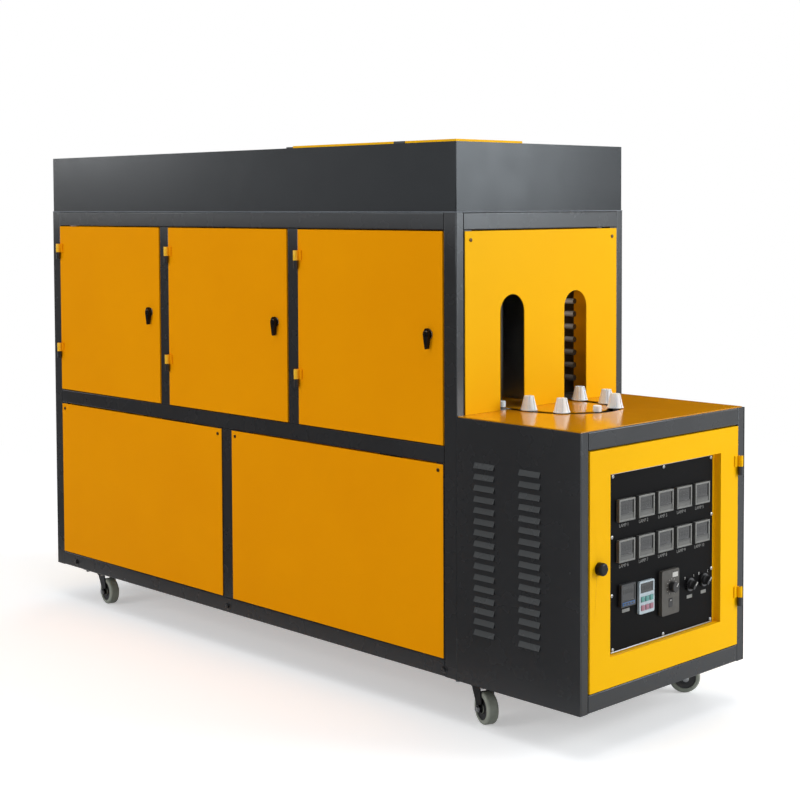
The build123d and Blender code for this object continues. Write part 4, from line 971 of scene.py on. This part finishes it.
def fit_latch_collars():
    """Chrome collar on each door and a chrome band on each lever."""
    for count, x in enumerate(LATCH_XS, 1):
        place = (x, COLLAR_Y, LATCH_Z)
        collar = start_round(f"latch_collar_{count}", place, COLLAR_RADIUS, 0.0026, "Y", 40)
        tool = start_round("tool", place, COLLAR_HOLE, 0.01, "Y", 40)
        cut_with(collar, tool)
        round_edges(collar, 0.0006, 2)
        dressed(collar, collar_chrome, f"side_door_{count}")
        place = (x, BAND_Y, LATCH_Z + 0.0065)
        band = start_block(f"latch_band_{count}", place, (0.0118, 0.0009, 0.0034))
        raised_face(band, NEAR, 0.0006, 0.0002)
        round_edges(band, 0.0002, 2)
        dressed(band, collar_chrome, f"side_latch_{count}")


HINGE_XS, HINGE_Y = [-0.979, -0.4323333, 0.1143333], -0.3085
HINGE_ZS = [0.75765, 1.05361]
SLEEVE_RADIUS, SLEEVE_HOLE, SLEEVE_HEIGHT = 0.0064, 0.00602, 0.0244


def fit_hinge_sleeves():
    """Sleeve over each knuckle of the side doors, in a brighter copy of the door yellow as painted
    light.
    """
    for count, x in enumerate(HINGE_XS, 1):
        sleeves = []
        for z in HINGE_ZS:
            place = (x, HINGE_Y, z)
            sleeve = start_round("sleeve", place, SLEEVE_RADIUS, SLEEVE_HEIGHT, "Z", 40)
            tool = start_round("tool", place, SLEEVE_HOLE, 0.04, "Z", 40)
            cut_with(sleeve, tool)
            round_edges(sleeve, 0.0001, 2)
            sleeves.append(sleeve)
        pair = joined(f"hinge_sleeves_{count}", sleeves)
        dressed(pair, lit_sleeve_yellow, f"side_door_{count}")


# Swivel axis and turn in degrees of each caster
CASTERS = [
    ((0.679, -0.242), -20),
    ((-0.85, -0.242), -8),
    ((-0.85, 0.242), 30),
    ((0.86, 0.242), 45),
]
PLATE_BOLT_X, PLATE_BOLT_Y, PLATE_FOOT_Z = 0.038, 0.036, 0.096
CASTER_TRAIL, AXLE_Z = 0.028, 0.0375
HUB_OFFSET, NUT_OFFSET = 0.0112, 0.0219
HUB_RADIUS, HUB_HOLE = 0.0262, 0.0125


def wheel_hub():
    """Dished hub face with a hole for the axle."""
    hub = start_round("hub", (0, 0, 0), HUB_RADIUS, 0.0021, "Z", 48)
    pick_faces(hub, UP)
    bpy.ops.mesh.inset(thickness=0.004, depth=0)
    bpy.ops.transform.translate(value=(0, 0, -0.0012))
    bpy.ops.mesh.inset(thickness=0.009, depth=0)
    bpy.ops.mesh.extrude_region_move()
    bpy.ops.transform.translate(value=(0, 0, 0.0022))
    bpy.ops.object.mode_set(mode="OBJECT")
    tool = start_round("tool", (0, 0, 0), HUB_HOLE, 0.02, "Z", 32)
    cut_with(hub, tool)
    round_edges(hub, 0.0004, 2)
    return hub


def both_sides(name, master, middle, axle, offset):
    """One piece on each side of a wheel, facing outwards, joined."""
    made = []
    for side in (-1, 1):
        place = middle + axle * side * offset
        turn = (axle * side).to_track_quat("Z", "Y").to_euler()
        made.append(copies("side_copy", master, [place], turn, keep=True))
    return joined(name, made)


def fit_casters():
    """Plate bolts, wheel hubs and axle nuts."""
    bolt = hex_bolt(0.010, 0.0055, 0.016)
    places = []
    for (x, y), _ in CASTERS:
        for dx in (-PLATE_BOLT_X, PLATE_BOLT_X):
            places += [(x + dx, y + dy, PLATE_FOOT_Z) for dy in (-PLATE_BOLT_Y, PLATE_BOLT_Y)]
    bolts = copies("caster_plate_bolts", bolt, places, TURN["down"])
    dressed(bolts, screw_zinc, "machine")
    hub = wheel_hub()
    nut = hex_bolt(0.013, 0.004, 0.0165)
    for count, ((x, y), turn) in enumerate(CASTERS, 1):
        aim = radians(turn)
        middle = Vector((x + CASTER_TRAIL * cos(aim), y + CASTER_TRAIL * sin(aim), AXLE_Z))
        axle = Vector((-sin(aim), cos(aim), 0))
        hubs = both_sides(f"wheel_hubs_{count}", hub, middle, axle, HUB_OFFSET)
        dressed(hubs, hub_black, f"wheel_{count}")
        nuts = both_sides(f"axle_nuts_{count}", nut, middle, axle, NUT_OFFSET)
        dressed(nuts, screw_zinc, f"caster_{count}")
    bpy.data.objects.remove(hub)
    bpy.data.objects.remove(nut)


fit_panel_screws()
fit_rail_bolts()
fit_hood_lip()
fit_meters()
fit_timer()
fit_keypad()
fit_speed_controller()
fit_selectors()
fit_panel_trim()
fit_latch_collars()
fit_hinge_sleeves()
fit_casters()

set_camera()
set_studio()
